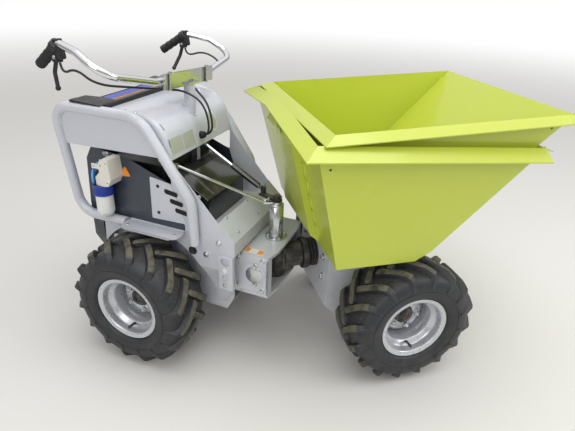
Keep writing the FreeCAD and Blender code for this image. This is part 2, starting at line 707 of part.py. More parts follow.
def damper():
    """Bright rod on its ball at the upper end, and the black barrel on the lower eye."""
    base, pin, d, length = damperLine()
    barrelBack = length - 140.0
    rodEnd = barrelBack + 95.0
    top = math.sqrt(BALL_R ** 2 - 5.0 ** 2)
    outline = Part.Wire([
        Part.Arc(V(0, 0, -BALL_R), V(BALL_R, 0, 0), V(5.0, 0, top)).toShape(),
        Part.makeLine(V(5.0, 0, top), V(5.0, 0, rodEnd)),
        Part.makeLine(V(5.0, 0, rodEnd), V(0, 0, rodEnd)),
        Part.makeLine(V(0, 0, rodEnd), V(0, 0, -BALL_R)),
    ])
    shaft = turnedAlong(outline, base, d)
    barrel = Part.makeCylinder(11.0, 120.0, base + d * barrelBack, d)
    barrel = barrel.cut(Part.makeCylinder(5.0 + RUN, 105.0, base + d * (barrelBack - 1), d))
    neck = Part.makeCylinder(5.0, 26.0, base + d * (length - 24.0), d)
    eye = Part.makeCylinder(9.0, 18.0, pin - V(0, 0, 9), V(0, 0, 1))
    nut = hexBolt((pin.x, pin.y, pin.z + 9), (0, 0, 1), 13, 7)
    return fuse([barrel, neck, eye, nut]), shaft


def damperMount():
    """Leg on the level part of the cover with the socket of the damper's ball."""
    base, pin, d, length = damperLine()
    r = BALL_R + GAP
    outline = Part.Wire([
        Part.makeLine(V(0, 0, -17.0), V(12.0, 0, -17.0)),
        Part.makeLine(V(12.0, 0, -17.0), V(12.0, 0, 0)),
        Part.makeLine(V(12.0, 0, 0), V(r, 0, 0)),
        Part.Arc(V(r, 0, 0), V(r * 0.6, 0, -r * 0.8), V(0, 0, -r)).toShape(),
        Part.makeLine(V(0, 0, -r), V(0, 0, -17.0)),
    ])
    socket = turnedAlong(outline, base, d)
    leg = box(-343, -318, base.y - 10, base.y + 10, COVER_TOP, base.z + 14)
    return socket.fuse(leg)


def rearAxle():
    """Live axle: tube, differential case and the traction motor beside it."""
    parts = [cyl(30.0, (-AXLE_X, -(TRACK_Y - 50), WHEEL_Z), (0, 1, 0), 2 * (TRACK_Y - 50))]
    parts.append(cyl(76.0, (-AXLE_X, -40, WHEEL_Z), (0, 1, 0), 96.0))
    parts.append(cyl(58.0, (-AXLE_X + 20, -30, WHEEL_Z + 20), (1, 0, 0.05), 60.0))
    parts.append(cyl(56.0, (-AXLE_X + 10, 4, WHEEL_Z + 90), (0, 1, 0), INNER_Y - 30))
    parts.append(box(-AXLE_X - 30, -AXLE_X + 50, -20, 20, WHEEL_Z, WHEEL_Z + 100))
    for s in (-1, 1):
        parts.append(cyl(SHAFT_R, (-AXLE_X, s * (TRACK_Y - 51), WHEEL_Z), (0, s, 0), 71.0 - DISC_IN))
        parts.append(box(-AXLE_X - 40, -AXLE_X + 40, s * (INNER_Y - 30) - 8,
                         s * (INNER_Y - 30) + 8, 174, WHEEL_Z))
    return fuse(parts)


# front unit, drawn straight ahead

def knuckle():
    """Barrel on the articulation pin with the roll bearing's housing."""
    h0, h1 = BOX_BOTTOM + 11, BOX_TOP - 11
    barrel = cyl(BARREL_R, (0, 0, h0), (0, 0, 1), h1 - h0)
    pin = cyl(PIN_R, (0, 0, BOX_BOTTOM - 12), (0, 0, 1), BOX_TOP - BOX_BOTTOM + 12)
    cap = cyl(28.0, (0, 0, BOX_BOTTOM - 12), (0, 0, 1), 11.0)
    stem = cyl(STEM_R, (0, 0, BOX_TOP - 2), (0, 0, 1), ARM_LOW + 12 - BOX_TOP)
    body = cyl(46.0, (30, 0, ROLL_Z), (1, 0, 0), 62.0)
    neck = box(0, 60, -34, 34, ROLL_Z - 44, ROLL_Z + 44)
    arm = box(-14, ARM_R + 11, -12, 12, ARM_LOW, ARM_LOW + 7)
    arm.rotate(V(0, 0, 0), V(0, 0, 1), ARM_DEG)
    nut = hexBolt((0, 0, ARM_LOW + 7), (0, 0, 1), 24, 12)
    out = fuse([barrel, pin, cap, body, neck])
    out = out.fuse(fuse([stem, arm, nut]))
    out = out.cut(cyl(ROLL_R + RUN, (44, 0, ROLL_Z), (1, 0, 0), 60.0))
    return out


def rollRing():
    """Black boot and ring round the roll bearing, on the front chassis."""
    ring = cyl(58.0, (96, 0, ROLL_Z), (1, 0, 0), 20.0)
    rib = cyl(52.0, (116, 0, ROLL_Z), (1, 0, 0), 34.0)
    body = ring.fuse(rib)
    return body.cut(cyl(ROLL_R + GAP, (90, 0, ROLL_Z), (1, 0, 0), 70.0))


def frontChassis():
    """Box between the front wheels that carries the skip and the roll spigot."""
    side = plateXZ([(FRONT_X, 200), (FRONT_X, 410), (190, 436), (500, 436),
                    (TIP_X - 20, TIP_Z + 15), (TIP_X + 12, TIP_Z + 15),
                    (TIP_X + 24, TIP_Z + 3), (TIP_X + 24, TIP_Z - 22), (TIP_X + 4, TIP_Z - 44),
                    (500, 300), (440, 190), (240, 166), (185, 166)], -FRONT_Y, -FRONT_Y + 5)
    side = side.cut(cyl(36.0, (AXLE_X, -FRONT_Y - 1, WHEEL_Z), (0, 1, 0), 7))
    side = side.cut(cyl(TIP_PIN_R + RUN, (TIP_X, -FRONT_Y - 1, TIP_Z - 10), (0, 1, 0), 7))
    rear = box(FRONT_X, FRONT_X + 8, -FRONT_Y, FRONT_Y, 200, 410)
    top = box(190, 500, -FRONT_Y, FRONT_Y, 428, 432)
    bottom = box(190, 440, -FRONT_Y, FRONT_Y, 166, 170)
    bottom = bottom.cut(box(AXLE_X - CASE_GAP, AXLE_X + CASE_GAP, -66, 50, 160, 180))
    mid = box(280, 284, -FRONT_Y, FRONT_Y, 166, 432)
    spigot = cyl(ROLL_R, (50, 0, ROLL_Z), (1, 0, 0), 110.0)
    bolt = hexBolt((FRONT_X, -100, 300), (-1, 0, 0), 16, 8)
    bolt2 = hexBolt((FRONT_X, 100, 300), (-1, 0, 0), 16, 8)
    rest = plateXZ([(200, 432), (240, 432), (240, skipFloor(240) - 0.5),
                    (200, skipFloor(200) - 0.5)], 30 - FRONT_Y, FRONT_Y - 30)
    return fuse([side, mirrorY(side), rear, top, bottom, mid, spigot, bolt, bolt2, rest])


def frontAxle():
    parts = [cyl(30.0, (AXLE_X, -(TRACK_Y - 50), WHEEL_Z), (0, 1, 0), 2 * (TRACK_Y - 50))]
    parts.append(cyl(76.0, (AXLE_X, -56, WHEEL_Z), (0, 1, 0), 96.0))
    parts.append(cyl(56.0, (AXLE_X - 10, 26 - INNER_Y, WHEEL_Z + 90), (0, 1, 0),
                     INNER_Y - 30))
    parts.append(box(AXLE_X - 50, AXLE_X + 30, -20, 20, WHEEL_Z, WHEEL_Z + 100))
    for s in (-1, 1):
        parts.append(cyl(SHAFT_R, (AXLE_X, s * (TRACK_Y - 51), WHEEL_Z), (0, s, 0), 71.0 - DISC_IN))
        parts.append(box(AXLE_X - 40, AXLE_X + 40, s * (INNER_Y - 30) - 8,
                         s * (INNER_Y - 30) + 8, 170, WHEEL_Z))
    return fuse(parts)


def skipFloor(x):
    """Height of the skip's underside."""
    a, b = SKIP["rearLow"], SKIP["frontLow"]
    return a[1] + (x - a[0]) * (b[1] - a[1]) / (b[0] - a[0])


# skip outline from the rear rim round the floor to the front rim: corner name, x, z
SKIP = {
    "rearTop": (2.0, 880.0),
    "rearLow": (106.0, 470.0),
    "frontLow": (372.0, 466.0),
    "bevel": (424.0, 498.0),
    "frontTop": (726.0, 834.0),
}
# half widths that fix the plane of the flared side walls: x, half width, z
SKIP_SIDE = ((2.0, 352.0, 880.0), (106.0, 316.0, 470.0), (726.0, 352.0, 834.0))
SKIP_RIDGE = 42.0            # rise of the gabled rear wall at its middle
SKIP_FLANGE = (40.0, 28.0)   # flange: reach outwards, drop
TUB = [(58.0, 899.0), (150.0, 502.0), (372.0, 514.0), (812.0, 929.0)]
TUB_SIDE = ((58.0, 327.0, 899.0), (150.0, 300.0, 502.0), (812.0, 336.0, 929.0))
TUB_WALL = 2.5
TUB_FLANGE = (36.0, 15.0)


def sidePlane(rows):
    """Factors a, b, c of half width = a + b x + c z through three rows of x, half width, z."""
    (x0, h0, z0), (x1, h1, z1), (x2, h2, z2) = rows
    det = (x1 - x0) * (z2 - z0) - (x2 - x0) * (z1 - z0)
    b = ((h1 - h0) * (z2 - z0) - (h2 - h0) * (z1 - z0)) / det
    c = ((x1 - x0) * (h2 - h0) - (x2 - x0) * (h1 - h0)) / det
    return h0 - b * x0 - c * z0, b, c


def polyhedron(faces):
    shell = Part.Shell([Part.Face(Part.makePolygon(f + [f[0]])) for f in faces])
    solid = Part.Solid(shell)
    if solid.Volume < 0:
        solid.reverse()
    return solid


def flaredPrism(profile, plane):
    """Solid over a closed outline in x and z, between two mirrored flared planes."""
    a, b, c = plane
    left = [V(x, a + b * x + c * z, z) for x, z in profile]
    right = [V(v.x, -v.y, v.z) for v in left]
    n = len(profile)
    faces = [left, list(reversed(right))]
    for i in range(n):
        j = (i + 1) % n
        faces.append([right[i], right[j], left[j], left[i]])
    return polyhedron(faces)


def inset(profile, t, over):
    """The open outline moved inwards by t, with its two ends run on past the rim."""
    lines = []
    for (x0, z0), (x1, z1) in zip(profile, profile[1:]):
        n = math.hypot(x1 - x0, z1 - z0)
        ux, uz = (x1 - x0) / n, (z1 - z0) / n
        # inwards is to the left of the way round: down the back, along the floor, up the front
        lines.append((x0 - uz * t, z0 + ux * t, ux, uz, n))
    x, z, ux, uz, n = lines[0]
    out = [(x - ux * over, z - uz * over)]
    for p, q in zip(lines, lines[1:]):
        det = p[2] * q[3] - p[3] * q[2]
        s = ((q[0] - p[0]) * q[3] - (q[1] - p[1]) * q[2]) / det
        out.append((p[0] + p[2] * s, p[1] + p[3] * s))
    x, z, ux, uz, n = lines[-1]
    out.append((x + ux * (n + over), z + uz * (n + over)))
    return out


def tub(profile, side, wall, ridge, flange, lip):
    """Folded sheet tub: flared walls of even thickness, gabled back, mitred flange, front lip."""
    reach, drop = flange
    a, b, c = sidePlane(side)
    outer = flaredPrism(profile, (a, b, c))
    shift = wall * math.sqrt(1 + b * b + c * c)
    inner = flaredPrism(inset(profile, wall, 70.0), (a - shift, b, c))
    shell = outer.cut(inner)

    def corner(x, z, s):
        return V(x, s * (a + b * x + c * z), z)

    (rx, rz), (lx, lz) = profile[0], profile[1]
    fx, fz = profile[-1]
    slope = (fz - rz) / (fx - rx)
    k = 10.0 / reach             # how far the flaps run inwards before they are trimmed
    rear = {s: corner(rx, rz, s) for s in (-1, 1)}
    front = {s: corner(fx, fz, s) for s in (-1, 1)}
    widen = (front[1].y - rear[1].y) / (fx - rx)
    mitre = {s: V(-reach, s * reach, -drop * (1 + widen) - reach * slope) for s in (-1, 1)}
    down = V(lx - rx, 0, lz - rz).normalize()
    quads = []
    for s in (-1, 1):
        end = V(0, s * reach, -drop)
        quads.append([rear[s] - mitre[s] * k, front[s] - end * k,
                      front[s] + end, rear[s] + mitre[s]])
    if ridge > 0:
        peak = V(rx, 0, rz) - down * ridge
        n = (peak - rear[-1]).cross(mitre[-1])
        fall = V(-reach, 0, reach * n.x / n.z)
        for s in (-1, 1):
            quads.append([rear[s] - mitre[s] * k, peak - fall * k,
                          peak + fall, rear[s] + mitre[s]])
        low = {s: corner(rx + down.x * 30, rz + down.z * 30, s) for s in (-1, 1)}
        inward = V(-down.z, 0, down.x) * wall
        plate = Part.Face(Part.makePolygon([rear[-1], peak, rear[1], low[1], low[-1],
                                            rear[-1]])).extrude(inward)
        shell = shell.fuse(plate)
    else:
        quads.append([rear[-1] - mitre[-1] * k, rear[1] - mitre[1] * k,
                      rear[1] + mitre[1], rear[-1] + mitre[-1]])
    over = V(lip[0], 0, -lip[1])
    edge = {s: V(fx, s * (abs(front[s].y) - 1.0), fz) for s in (-1, 1)}
    quads.append([edge[-1] - over * 0.3, edge[1] - over * 0.3, edge[1] + over, edge[-1] + over])

    def slab(quad, height):
        other = [v + V(0, 0, height) for v in quad]
        faces = [quad, list(reversed(other))]
        for i in range(4):
            j = (i + 1) % 4
            faces.append([quad[i], quad[j], other[j], other[i]])
        return polyhedron(faces)

    flaps = [slab(q, -wall * 1.2) for q in quads]
    shell = cutAll(shell, [slab(q, 40.0) for q in quads])
    return fuse([shell] + flaps).cut(inner)


def frontSlope(x):
    """Height of the skip's front wall, outer face, above a point ahead of the bevel."""
    b, t = SKIP["bevel"], SKIP["frontTop"]
    return b[1] + (x - b[0]) * (t[1] - b[1]) / (t[0] - b[0])


def outerSkip():
    profile = [SKIP[k] for k in ("rearTop", "rearLow", "frontLow", "bevel", "frontTop")]
    body = tub(profile, SKIP_SIDE, SKIP_WALL, SKIP_RIDGE, SKIP_FLANGE, (30.0, 10.0))
    # raised cover on the rear wall: distance down the wall, distance out from it
    top, low = SKIP["rearTop"], SKIP["rearLow"]
    n = math.hypot(low[0] - top[0], low[1] - top[1])
    ux, uz = (low[0] - top[0]) / n, (low[1] - top[1]) / n
    rows = ((40.0, 0.0), (60.0, 22.0), (n - 40.0, 22.0), (n - 8.0, 0.0))
    outline = [(top[0] + ux * s + uz * off, top[1] + uz * s - ux * off) for s, off in rows]
    hat = plateXZ(outline, -150, 150)
    # hinge lugs down to the tipping pins
    lugs = []
    for y in (-FRONT_Y - 16, FRONT_Y + 4):
        lugs.append(plateXZ([(TIP_X - 22, TIP_Z - 32), (TIP_X + 22, TIP_Z - 32),
                             (TIP_X + 34, frontSlope(TIP_X + 34) + 1),
                             (TIP_X - 66, frontSlope(TIP_X - 66) + 1)], y, y + 12))
    body = fuse([body, hat] + lugs)
    body = body.cut(cyl(TIP_PIN_R + RUN, (TIP_X, -250, TIP_Z - 10), (0, 1, 0), 500))
    return body


def innerTub():
    return tub(TUB, TUB_SIDE, TUB_WALL, 0.0, TUB_FLANGE, (30.0, 10.0))


def tipPins():
    out = []
    for s in (-1, 1):
        y0 = FRONT_Y + 18 if s > 0 else -(FRONT_Y + 18)
        pin = cyl(TIP_PIN_R, (TIP_X, y0, TIP_Z - 10), (0, -s, 0), 40)
        head = cyl(16.0, (TIP_X, y0, TIP_Z - 10), (0, s, 0), 6)
        out.append(pin.fuse(head))
    return out


def turned(item):
    """Rear unit's pieces, turned about the pivot axis into the parked pose."""
    out = []
    for s in item if isinstance(item, (list, tuple)) else [item]:
        s = s.copy()
        s.rotate(V(0, 0, 0), V(0, 0, 1), -REST_STEER)
        out.append(s)
    return out


def solidsOf(item):
    shapes = item if isinstance(item, (list, tuple)) else [item]
    solids = []
    for s in shapes:
        solids += s.Solids
    return solids


BOUNDS = FreeCAD.BoundBox()


def save(name, item):
    solids = solidsOf(item)
    shape = solids[0] if len(solids) == 1 else Part.makeCompound(solids)
    shape.translate(V(SHIFT[0], SHIFT[1], 0))
    shape.exportStep("parts/" + name + ".step")
    BOUNDS.add(shape.BoundBox)
    vol = sum(s.Volume for s in solids)
    print("%-22s solids %2d faces %4d volume %.0f" % (name, len(solids), len(shape.Faces), vol))


def pair(shape):
    return [shape, mirrorY(shape)]


def rearUnit():
    save("rear_chassis", turned(rearChassis()))
    save("cover_plate", turned(coverPlate()))
    save("tube_loops", turned(pair(loops())))
    save("hood", turned(hood()))
    save("console_pad", turned(consolePad()))
    save("body_panels", turned(bodyPanels()))
    save("vent_plates", turned(pair(ventPlate())))
    save("battery_block", turned(batteryBlock()))
    save("battery_cover", turned(batteryCover()))
    save("column", turned(column()))
    save("handlebar", turned(tilted(handlebar())))
    save("bar_clamp", turned(tilted(barClamp())))
    save("clamp_bolts", turned(clampBolts()))
    save("grips", turned([tilted(s) for s in pair(grips())]))
    save("levers", turned([tilted(s) for s in pair(levers())]))
    save("control_cables", turned(cables()))
    save("cable_gland", turned(gland()))
    save("charge_inlet", turned(chargeInlet()))
    save("charge_collar", turned(chargeCollar()))
    save("charge_plug", turned(chargePlug()))
    save("charge_lid", turned(chargeLid()))
    save("lashing_plates", turned(pair(lashingPlate())))
    save("bungs", turned(pair(bung())))
    save("pivot_box", turned(pivotBox()))
    save("pivot_post", turned(pivotPost()))
    save("stay_rod", turned(stayRod()))
    barrel, shaft = damper()
    save("damper_barrel", turned(barrel))
    save("damper_rod", turned(shaft))
    save("damper_mount", turned(damperMount()))
    save("rear_axle", turned(rearAxle()))


def frontUnit():
    save("knuckle", knuckle())
    save("roll_ring", rollRing())
    save("front_chassis", frontChassis())
    save("front_axle", frontAxle())
    save("outer_skip", outerSkip())
    save("inner_tub", innerTub())
    save("tip_pins", tipPins())


def wheels():
    kinds = (("tyre", tyre()), ("rim", rim()), ("hub", hub()))
    for side, s in (("right", -1), ("left", 1)):
        for kind, shape in kinds:
            save("rear_%s_%s" % (side, kind), turned(place(shape, -AXLE_X, TRACK_Y, s)))
            save("front_%s_%s" % (side, kind), place(shape, AXLE_X, TRACK_Y, s))


def main():
    os.makedirs("parts", exist_ok=True)
    wheels()
    rearUnit()
    frontUnit()
    b = BOUNDS
    print("overall x %.1f %.1f  y %.1f %.1f  z %.1f %.1f"
          % (b.XMin, b.XMax, b.YMin, b.YMax, b.ZMin, b.ZMax))


main()
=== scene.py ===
import bpy
import math
import numpy as np
from mathutils import Matrix, Vector


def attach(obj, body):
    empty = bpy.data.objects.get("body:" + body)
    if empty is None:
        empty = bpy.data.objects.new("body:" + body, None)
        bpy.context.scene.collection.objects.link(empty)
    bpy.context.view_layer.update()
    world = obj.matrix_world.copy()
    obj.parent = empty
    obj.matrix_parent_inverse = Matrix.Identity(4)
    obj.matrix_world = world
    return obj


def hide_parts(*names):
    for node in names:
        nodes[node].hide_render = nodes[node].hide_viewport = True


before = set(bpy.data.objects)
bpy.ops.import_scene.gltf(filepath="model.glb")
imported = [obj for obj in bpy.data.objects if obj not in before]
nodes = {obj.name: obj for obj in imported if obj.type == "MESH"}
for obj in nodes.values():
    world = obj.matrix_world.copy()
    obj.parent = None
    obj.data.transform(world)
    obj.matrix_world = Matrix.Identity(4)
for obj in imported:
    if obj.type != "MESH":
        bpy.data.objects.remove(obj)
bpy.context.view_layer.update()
print("frame loaded,", len(nodes), "nodes")

# Walk-behind articulated dumper. Sizes below are in millimetres on the straight machine:
# +x forward, +z up, x = y = 0 on the pivot axis. The rear unit is turned about that axis
# into the parked pose, and everything is shifted so that the machine stands round the origin.
parking = {"turnDeg": -38.0, "shift": (-66.5, -138.3)}


def frontAt(points):
    p = np.asarray(points, float).reshape(-1, 3) + (*parking["shift"], 0.0)
    return p / 1000.0


def rearAt(points):
    p = np.asarray(points, float).reshape(-1, 3)
    t = math.radians(parking["turnDeg"])
    turned = np.stack([p[:, 0] * math.cos(t) - p[:, 1] * math.sin(t),
                       p[:, 0] * math.sin(t) + p[:, 1] * math.cos(t), p[:, 2]], 1)
    return frontAt(turned)


# surfaces, each returned as (points, faces)

def unit(v):
    v = np.asarray(v, float)
    return v / np.linalg.norm(v, axis=-1, keepdims=True)


def outward(points, faces):
    # six times the volume is the sum of a . (b x c) over fan triangles; below zero it is inside out
    total = 0.0
    for f in faces:
        p = points[list(f)]
        total += np.einsum("ij,ij->", np.cross(p[1:-1], p[2:]), np.repeat(p[:1], len(p) - 2, 0))
    return faces if total > 0 else [tuple(reversed(f)) for f in faces]


def gridFaces(rows, cols, wrapRows, wrapCols):
    i, j = np.meshgrid(np.arange(rows if wrapRows else rows - 1),
                       np.arange(cols if wrapCols else cols - 1), indexing="ij")
    i2, j2 = (i + 1) % rows, (j + 1) % cols
    quads = np.stack([i * cols + j, i2 * cols + j, i2 * cols + j2, i * cols + j2], -1)
    return [tuple(q) for q in quads.reshape(-1, 4).tolist()]


def turned(profile, steps=64, closed=False):
    # about the y axis: (r sin t, y, r cos t) for rows of (y, r); an open profile ends on the axis
    prof = np.asarray(profile, float)
    t = np.linspace(0, 2 * math.pi, steps, endpoint=False)
    y, r = prof[:, 0], prof[:, 1]
    if closed:
        grid = np.stack([np.outer(np.sin(t), r), np.tile(y, (steps, 1)),
                         np.outer(np.cos(t), r)], -1)
        points = grid.reshape(-1, 3)
        faces = gridFaces(steps, len(prof), True, True)
        return points, outward(points, faces)
    grid = np.stack([np.outer(np.sin(t), r), np.tile(y, (steps, 1)), np.outer(np.cos(t), r)], -1)
    points = grid.reshape(-1, 3)
    faces = gridFaces(steps, len(prof), True, False)
    n = len(prof)
    faces.append(tuple((k * n) for k in range(steps)))
    faces.append(tuple((k * n + n - 1) for k in reversed(range(steps))))
    return points, outward(points, faces)


def framesAlong(path):
    # tangent at each point, and two normals carried along it without twist
    path = np.asarray(path, float)
    tan = unit(np.gradient(path, axis=0))
    side = np.zeros_like(path)
    first = np.array([0, 0, 1.0]) if abs(tan[0][2]) < 0.9 else np.array([1.0, 0, 0])
    side[0] = unit(np.cross(tan[0], first))
    for k in range(1, len(path)):
        v = side[k - 1] - tan[k] * np.dot(side[k - 1], tan[k])
        side[k] = unit(v)
    return tan, side, np.cross(tan, side)


def swept(path, radius, around=16):
    # centre(s) + radius(s) (cos a side + sin a up), closed by a flat face at each end
    path = np.asarray(path, float)
    tan, side, up = framesAlong(path)
    a = np.linspace(0, 2 * math.pi, around, endpoint=False)
    r = np.broadcast_to(np.asarray(radius, float), (len(path),))
    ring = side[:, None] * np.cos(a)[None, :, None] + up[:, None] * np.sin(a)[None, :, None]
    points = (path[:, None] + ring * r[:, None, None]).reshape(-1, 3)
    faces = gridFaces(len(path), around, False, True)
    faces.append(tuple(reversed(range(around))))
    last = (len(path) - 1) * around
    faces.append(tuple(range(last, last + around)))
    return points, outward(points, faces)


def bentPath(corners, radii, fine=7):
    # straight runs joined by arcs tangent to both; fine points on each arc
    c = [np.asarray(p, float) for p in corners]
    out = [c[0]]
    for k in range(1, len(c) - 1):
        a, b = unit(c[k - 1] - c[k]), unit(c[k + 1] - c[k])
        half = math.acos(np.clip(np.dot(a, b), -1, 1)) / 2
        r = radii[k - 1]
        mid = unit(a + b)
        centre = c[k] + mid * r / math.sin(half)
        start, end = c[k] + a * r / math.tan(half), c[k] + b * r / math.tan(half)
        u, w = start - centre, end - centre
        sweepAngle = math.pi - 2 * half
        for s in np.linspace(0, 1, fine):
            out.append(centre + (u * math.sin((1 - s) * sweepAngle)
                                 + w * math.sin(s * sweepAngle)) / math.sin(sweepAngle))
    out.append(c[-1])
    return np.array(out)


def stretchedAlong(shape, base, direction):
    # a shape turned about the y axis, laid so that its +y runs along direction from base
    points, faces = shape
    d = unit(direction)
    other = np.array([0, 0, 1.0]) if abs(d[2]) < 0.9 else np.array([1.0, 0, 0])
    u = unit(np.cross(d, other))
    w = np.cross(u, d)
    placed = np.asarray(base, float) + points @ np.array([u, d, w])
    return placed, outward(placed, faces)


def slab(outline, low, high, axis="y"):
    # flat plate: the outline pushed from low to high along one axis
    o = np.asarray(outline, float)
    n = len(o)
    layers = []
    for level in (low, high):
        k = np.full(n, float(level))
        layers.append(np.stack({"x": (k, o[:, 0], o[:, 1]), "y": (o[:, 0], k, o[:, 1]),
                                "z": (o[:, 0], o[:, 1], k)}[axis], 1))
    points = np.concatenate(layers)
    faces = [tuple(range(n)), tuple(reversed(range(n, 2 * n)))]
    faces += [(i, (i + 1) % n, n + (i + 1) % n, n + i) for i in range(n)]
    return points, outward(points, faces)


def brick(x0, x1, y0, y1, z0, z1):
    return slab([(x0, z0), (x1, z0), (x1, z1), (x0, z1)], y0, y1)


def roundOutline(corners, radius, fine=5):
    # a polygon in the plane with every corner rounded
    c = [np.append(np.asarray(p, float), 0) for p in corners]
    out = []
    n = len(c)
    for k in range(n):
        a, b = unit(c[k - 1] - c[k]), unit(c[(k + 1) % n] - c[k])
        half = math.acos(np.clip(np.dot(a, b), -1, 1)) / 2
        if math.pi / 2 - half < 0.02:
            out.append(c[k][:2])
            continue
        r = min(radius, 0.45 * math.tan(half) * min(np.linalg.norm(c[k - 1] - c[k]),
                                                    np.linalg.norm(c[(k + 1) % n] - c[k])))
        mid = unit(a + b)
        centre = c[k] + mid * r / math.sin(half)
        u, w = c[k] + a * r / math.tan(half) - centre, c[k] + b * r / math.tan(half) - centre
        s = np.linspace(0, 1, fine)[:, None]
        g = math.pi - 2 * half
        arc = centre + (u * np.sin((1 - s) * g) + w * np.sin(s * g)) / math.sin(g)
        out += list(arc[:, :2])
    return np.array(out)


def joined(shapes):
    points, faces, base = [], [], 0
    for p, f in shapes:
        points.append(p)
        faces += [tuple(i + base for i in face) for face in f]
        base += len(p)
    return np.concatenate(points), faces


def mirrored(shape):
    points, faces = shape
    other = points * (1, -1, 1)
    return other, outward(other, faces)


def bothSides(shapes):
    return list(shapes) + [mirrored(s) for s in shapes]


def moved(shape, offset):
    return shape[0] + np.asarray(offset, float), shape[1]


def hexHead(centre, direction, across, height, washer=0.0):
    # hexagon with its outer edge chamfered, and a round washer under it
    r = across / math.sqrt(3)
    ring = np.arange(6) * math.pi / 3
    rows = [(washer, r), (washer + height * 0.82, r), (washer + height, r * 0.86)]
    points = np.concatenate([np.stack([np.sin(ring) * rr, np.full(6, y), np.cos(ring) * rr], 1)
                             for y, rr in rows])
    faces = gridFaces(3, 6, False, True)
    faces += [tuple(range(6)), tuple(reversed(range(12, 18)))]
    shapes = [(points, outward(points, faces))]
    if washer > 0:
        shapes.append(turned([(0, across * 0.82), (washer * 0.7, across * 0.82),
                              (washer, across * 0.76)], 20))
    return stretchedAlong(joined(shapes), centre, direction)


def domeHead(centre, direction, r, height):
    # button head with a hexagon socket's shadow ring round its middle
    return stretchedAlong(turned([(0, r), (height * 0.35, r), (height * 0.75, r * 0.82),
                                  (height, r * 0.5), (height, r * 0.34),
                                  (height * 0.45, r * 0.3), (height * 0.45, r * 0.02)], 20),
                          centre, direction)


def piece(name, shape, finish, place, body, replaces=(), bevel=0.0, sharp=32.0,
          segments=2, weld=False):
    points, faces = shape
    mesh = bpy.data.meshes.new(name)
    mesh.from_pydata(place(points).tolist(), [], faces)
    mesh.validate()
    mesh.polygons.foreach_set("use_smooth", np.ones(len(mesh.polygons), bool))
    mesh.set_sharp_from_angle(angle=math.radians(sharp))
    mesh.materials.append(finish)
    obj = bpy.data.objects.new(name, mesh)
    bpy.context.scene.collection.objects.link(obj)
    if bevel > 0:
        m = obj.modifiers.new("edges", "BEVEL")
        m.width, m.segments, m.limit_method = bevel / 1000.0, segments, "ANGLE"
        m.angle_limit = math.radians(sharp)
        m.harden_normals = True
        m.use_clamp_overlap = True
    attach(obj, body)
    if replaces:
        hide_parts(*replaces)
    return obj


def ink(r, g, b):
    # a colour written as screen values, 0 to 255, turned into scene-linear light
    c = np.array([r, g, b]) / 255.0
    lin = np.where(c <= 0.04045, c / 12.92, ((c + 0.055) / 1.055) ** 2.4)
    return (float(lin[0]), float(lin[1]), float(lin[2]), 1.0)


def effect(name, takes, gives):
    tree = bpy.data.node_groups.new(name, "ShaderNodeTree")
    kinds = {"v": "NodeSocketVector", "c": "NodeSocketColor", "f": "NodeSocketFloat"}
    for label, kind, value in takes:
        s = tree.interface.new_socket(name=label, in_out="INPUT", socket_type=kinds[kind])
        if value is not None:
            s.default_value = value
    for label, kind in gives:
        tree.interface.new_socket(name=label, in_out="OUTPUT", socket_type=kinds[kind])
    return tree, tree.nodes.new("NodeGroupInput"), tree.nodes.new("NodeGroupOutput")


def add(tree, kind, sockets=None, **settings):
    n = tree.nodes.new("ShaderNode" + kind)
    for k, v in settings.items():
        setattr(n, k, v)
    for k, v in (sockets or {}).items():
        if isinstance(v, bpy.types.NodeSocket):
            tree.links.new(v, n.inputs[k])
        else:
            n.inputs[k].default_value = v
    return n


def calc(tree, operation, a, b=None, c=None, clamp=False):
    n = tree.nodes.new("ShaderNodeMath")
    n.operation = operation
    n.use_clamp = clamp
    for i, v in enumerate((a, b, c)):
        if v is None:
            continue
        if isinstance(v, bpy.types.NodeSocket):
            tree.links.new(v, n.inputs[i])
        else:
            n.inputs[i].default_value = v
    return n.outputs[0]


def ramp(tree, value, low, high, outLow=0.0, outHigh=1.0):
    n = add(tree, "MapRange", {"From Min": low, "From Max": high, "To Min": outLow,
                               "To Max": outHigh}, interpolation_type="SMOOTHSTEP")
    tree.links.new(value, n.inputs["Value"])
    return n.outputs["Result"]


def blendColour(tree, share, a, b, how="MIX"):
    n = tree.nodes.new("ShaderNodeMix")
    n.data_type, n.blend_type = "RGBA", how
    for socket, v in ((n.inputs[0], share), (n.inputs[6], a), (n.inputs[7], b)):
        if isinstance(v, bpy.types.NodeSocket):
            tree.links.new(v, socket)
        else:
            socket.default_value = v
    return n.outputs[2]


def noise(tree, vector, scale, detail=3.0, rough=0.55):
    n = add(tree, "TexNoise", {"Vector": vector, "Scale": scale, "Detail": detail,
                               "Roughness": rough})
    return n.outputs["Fac"]


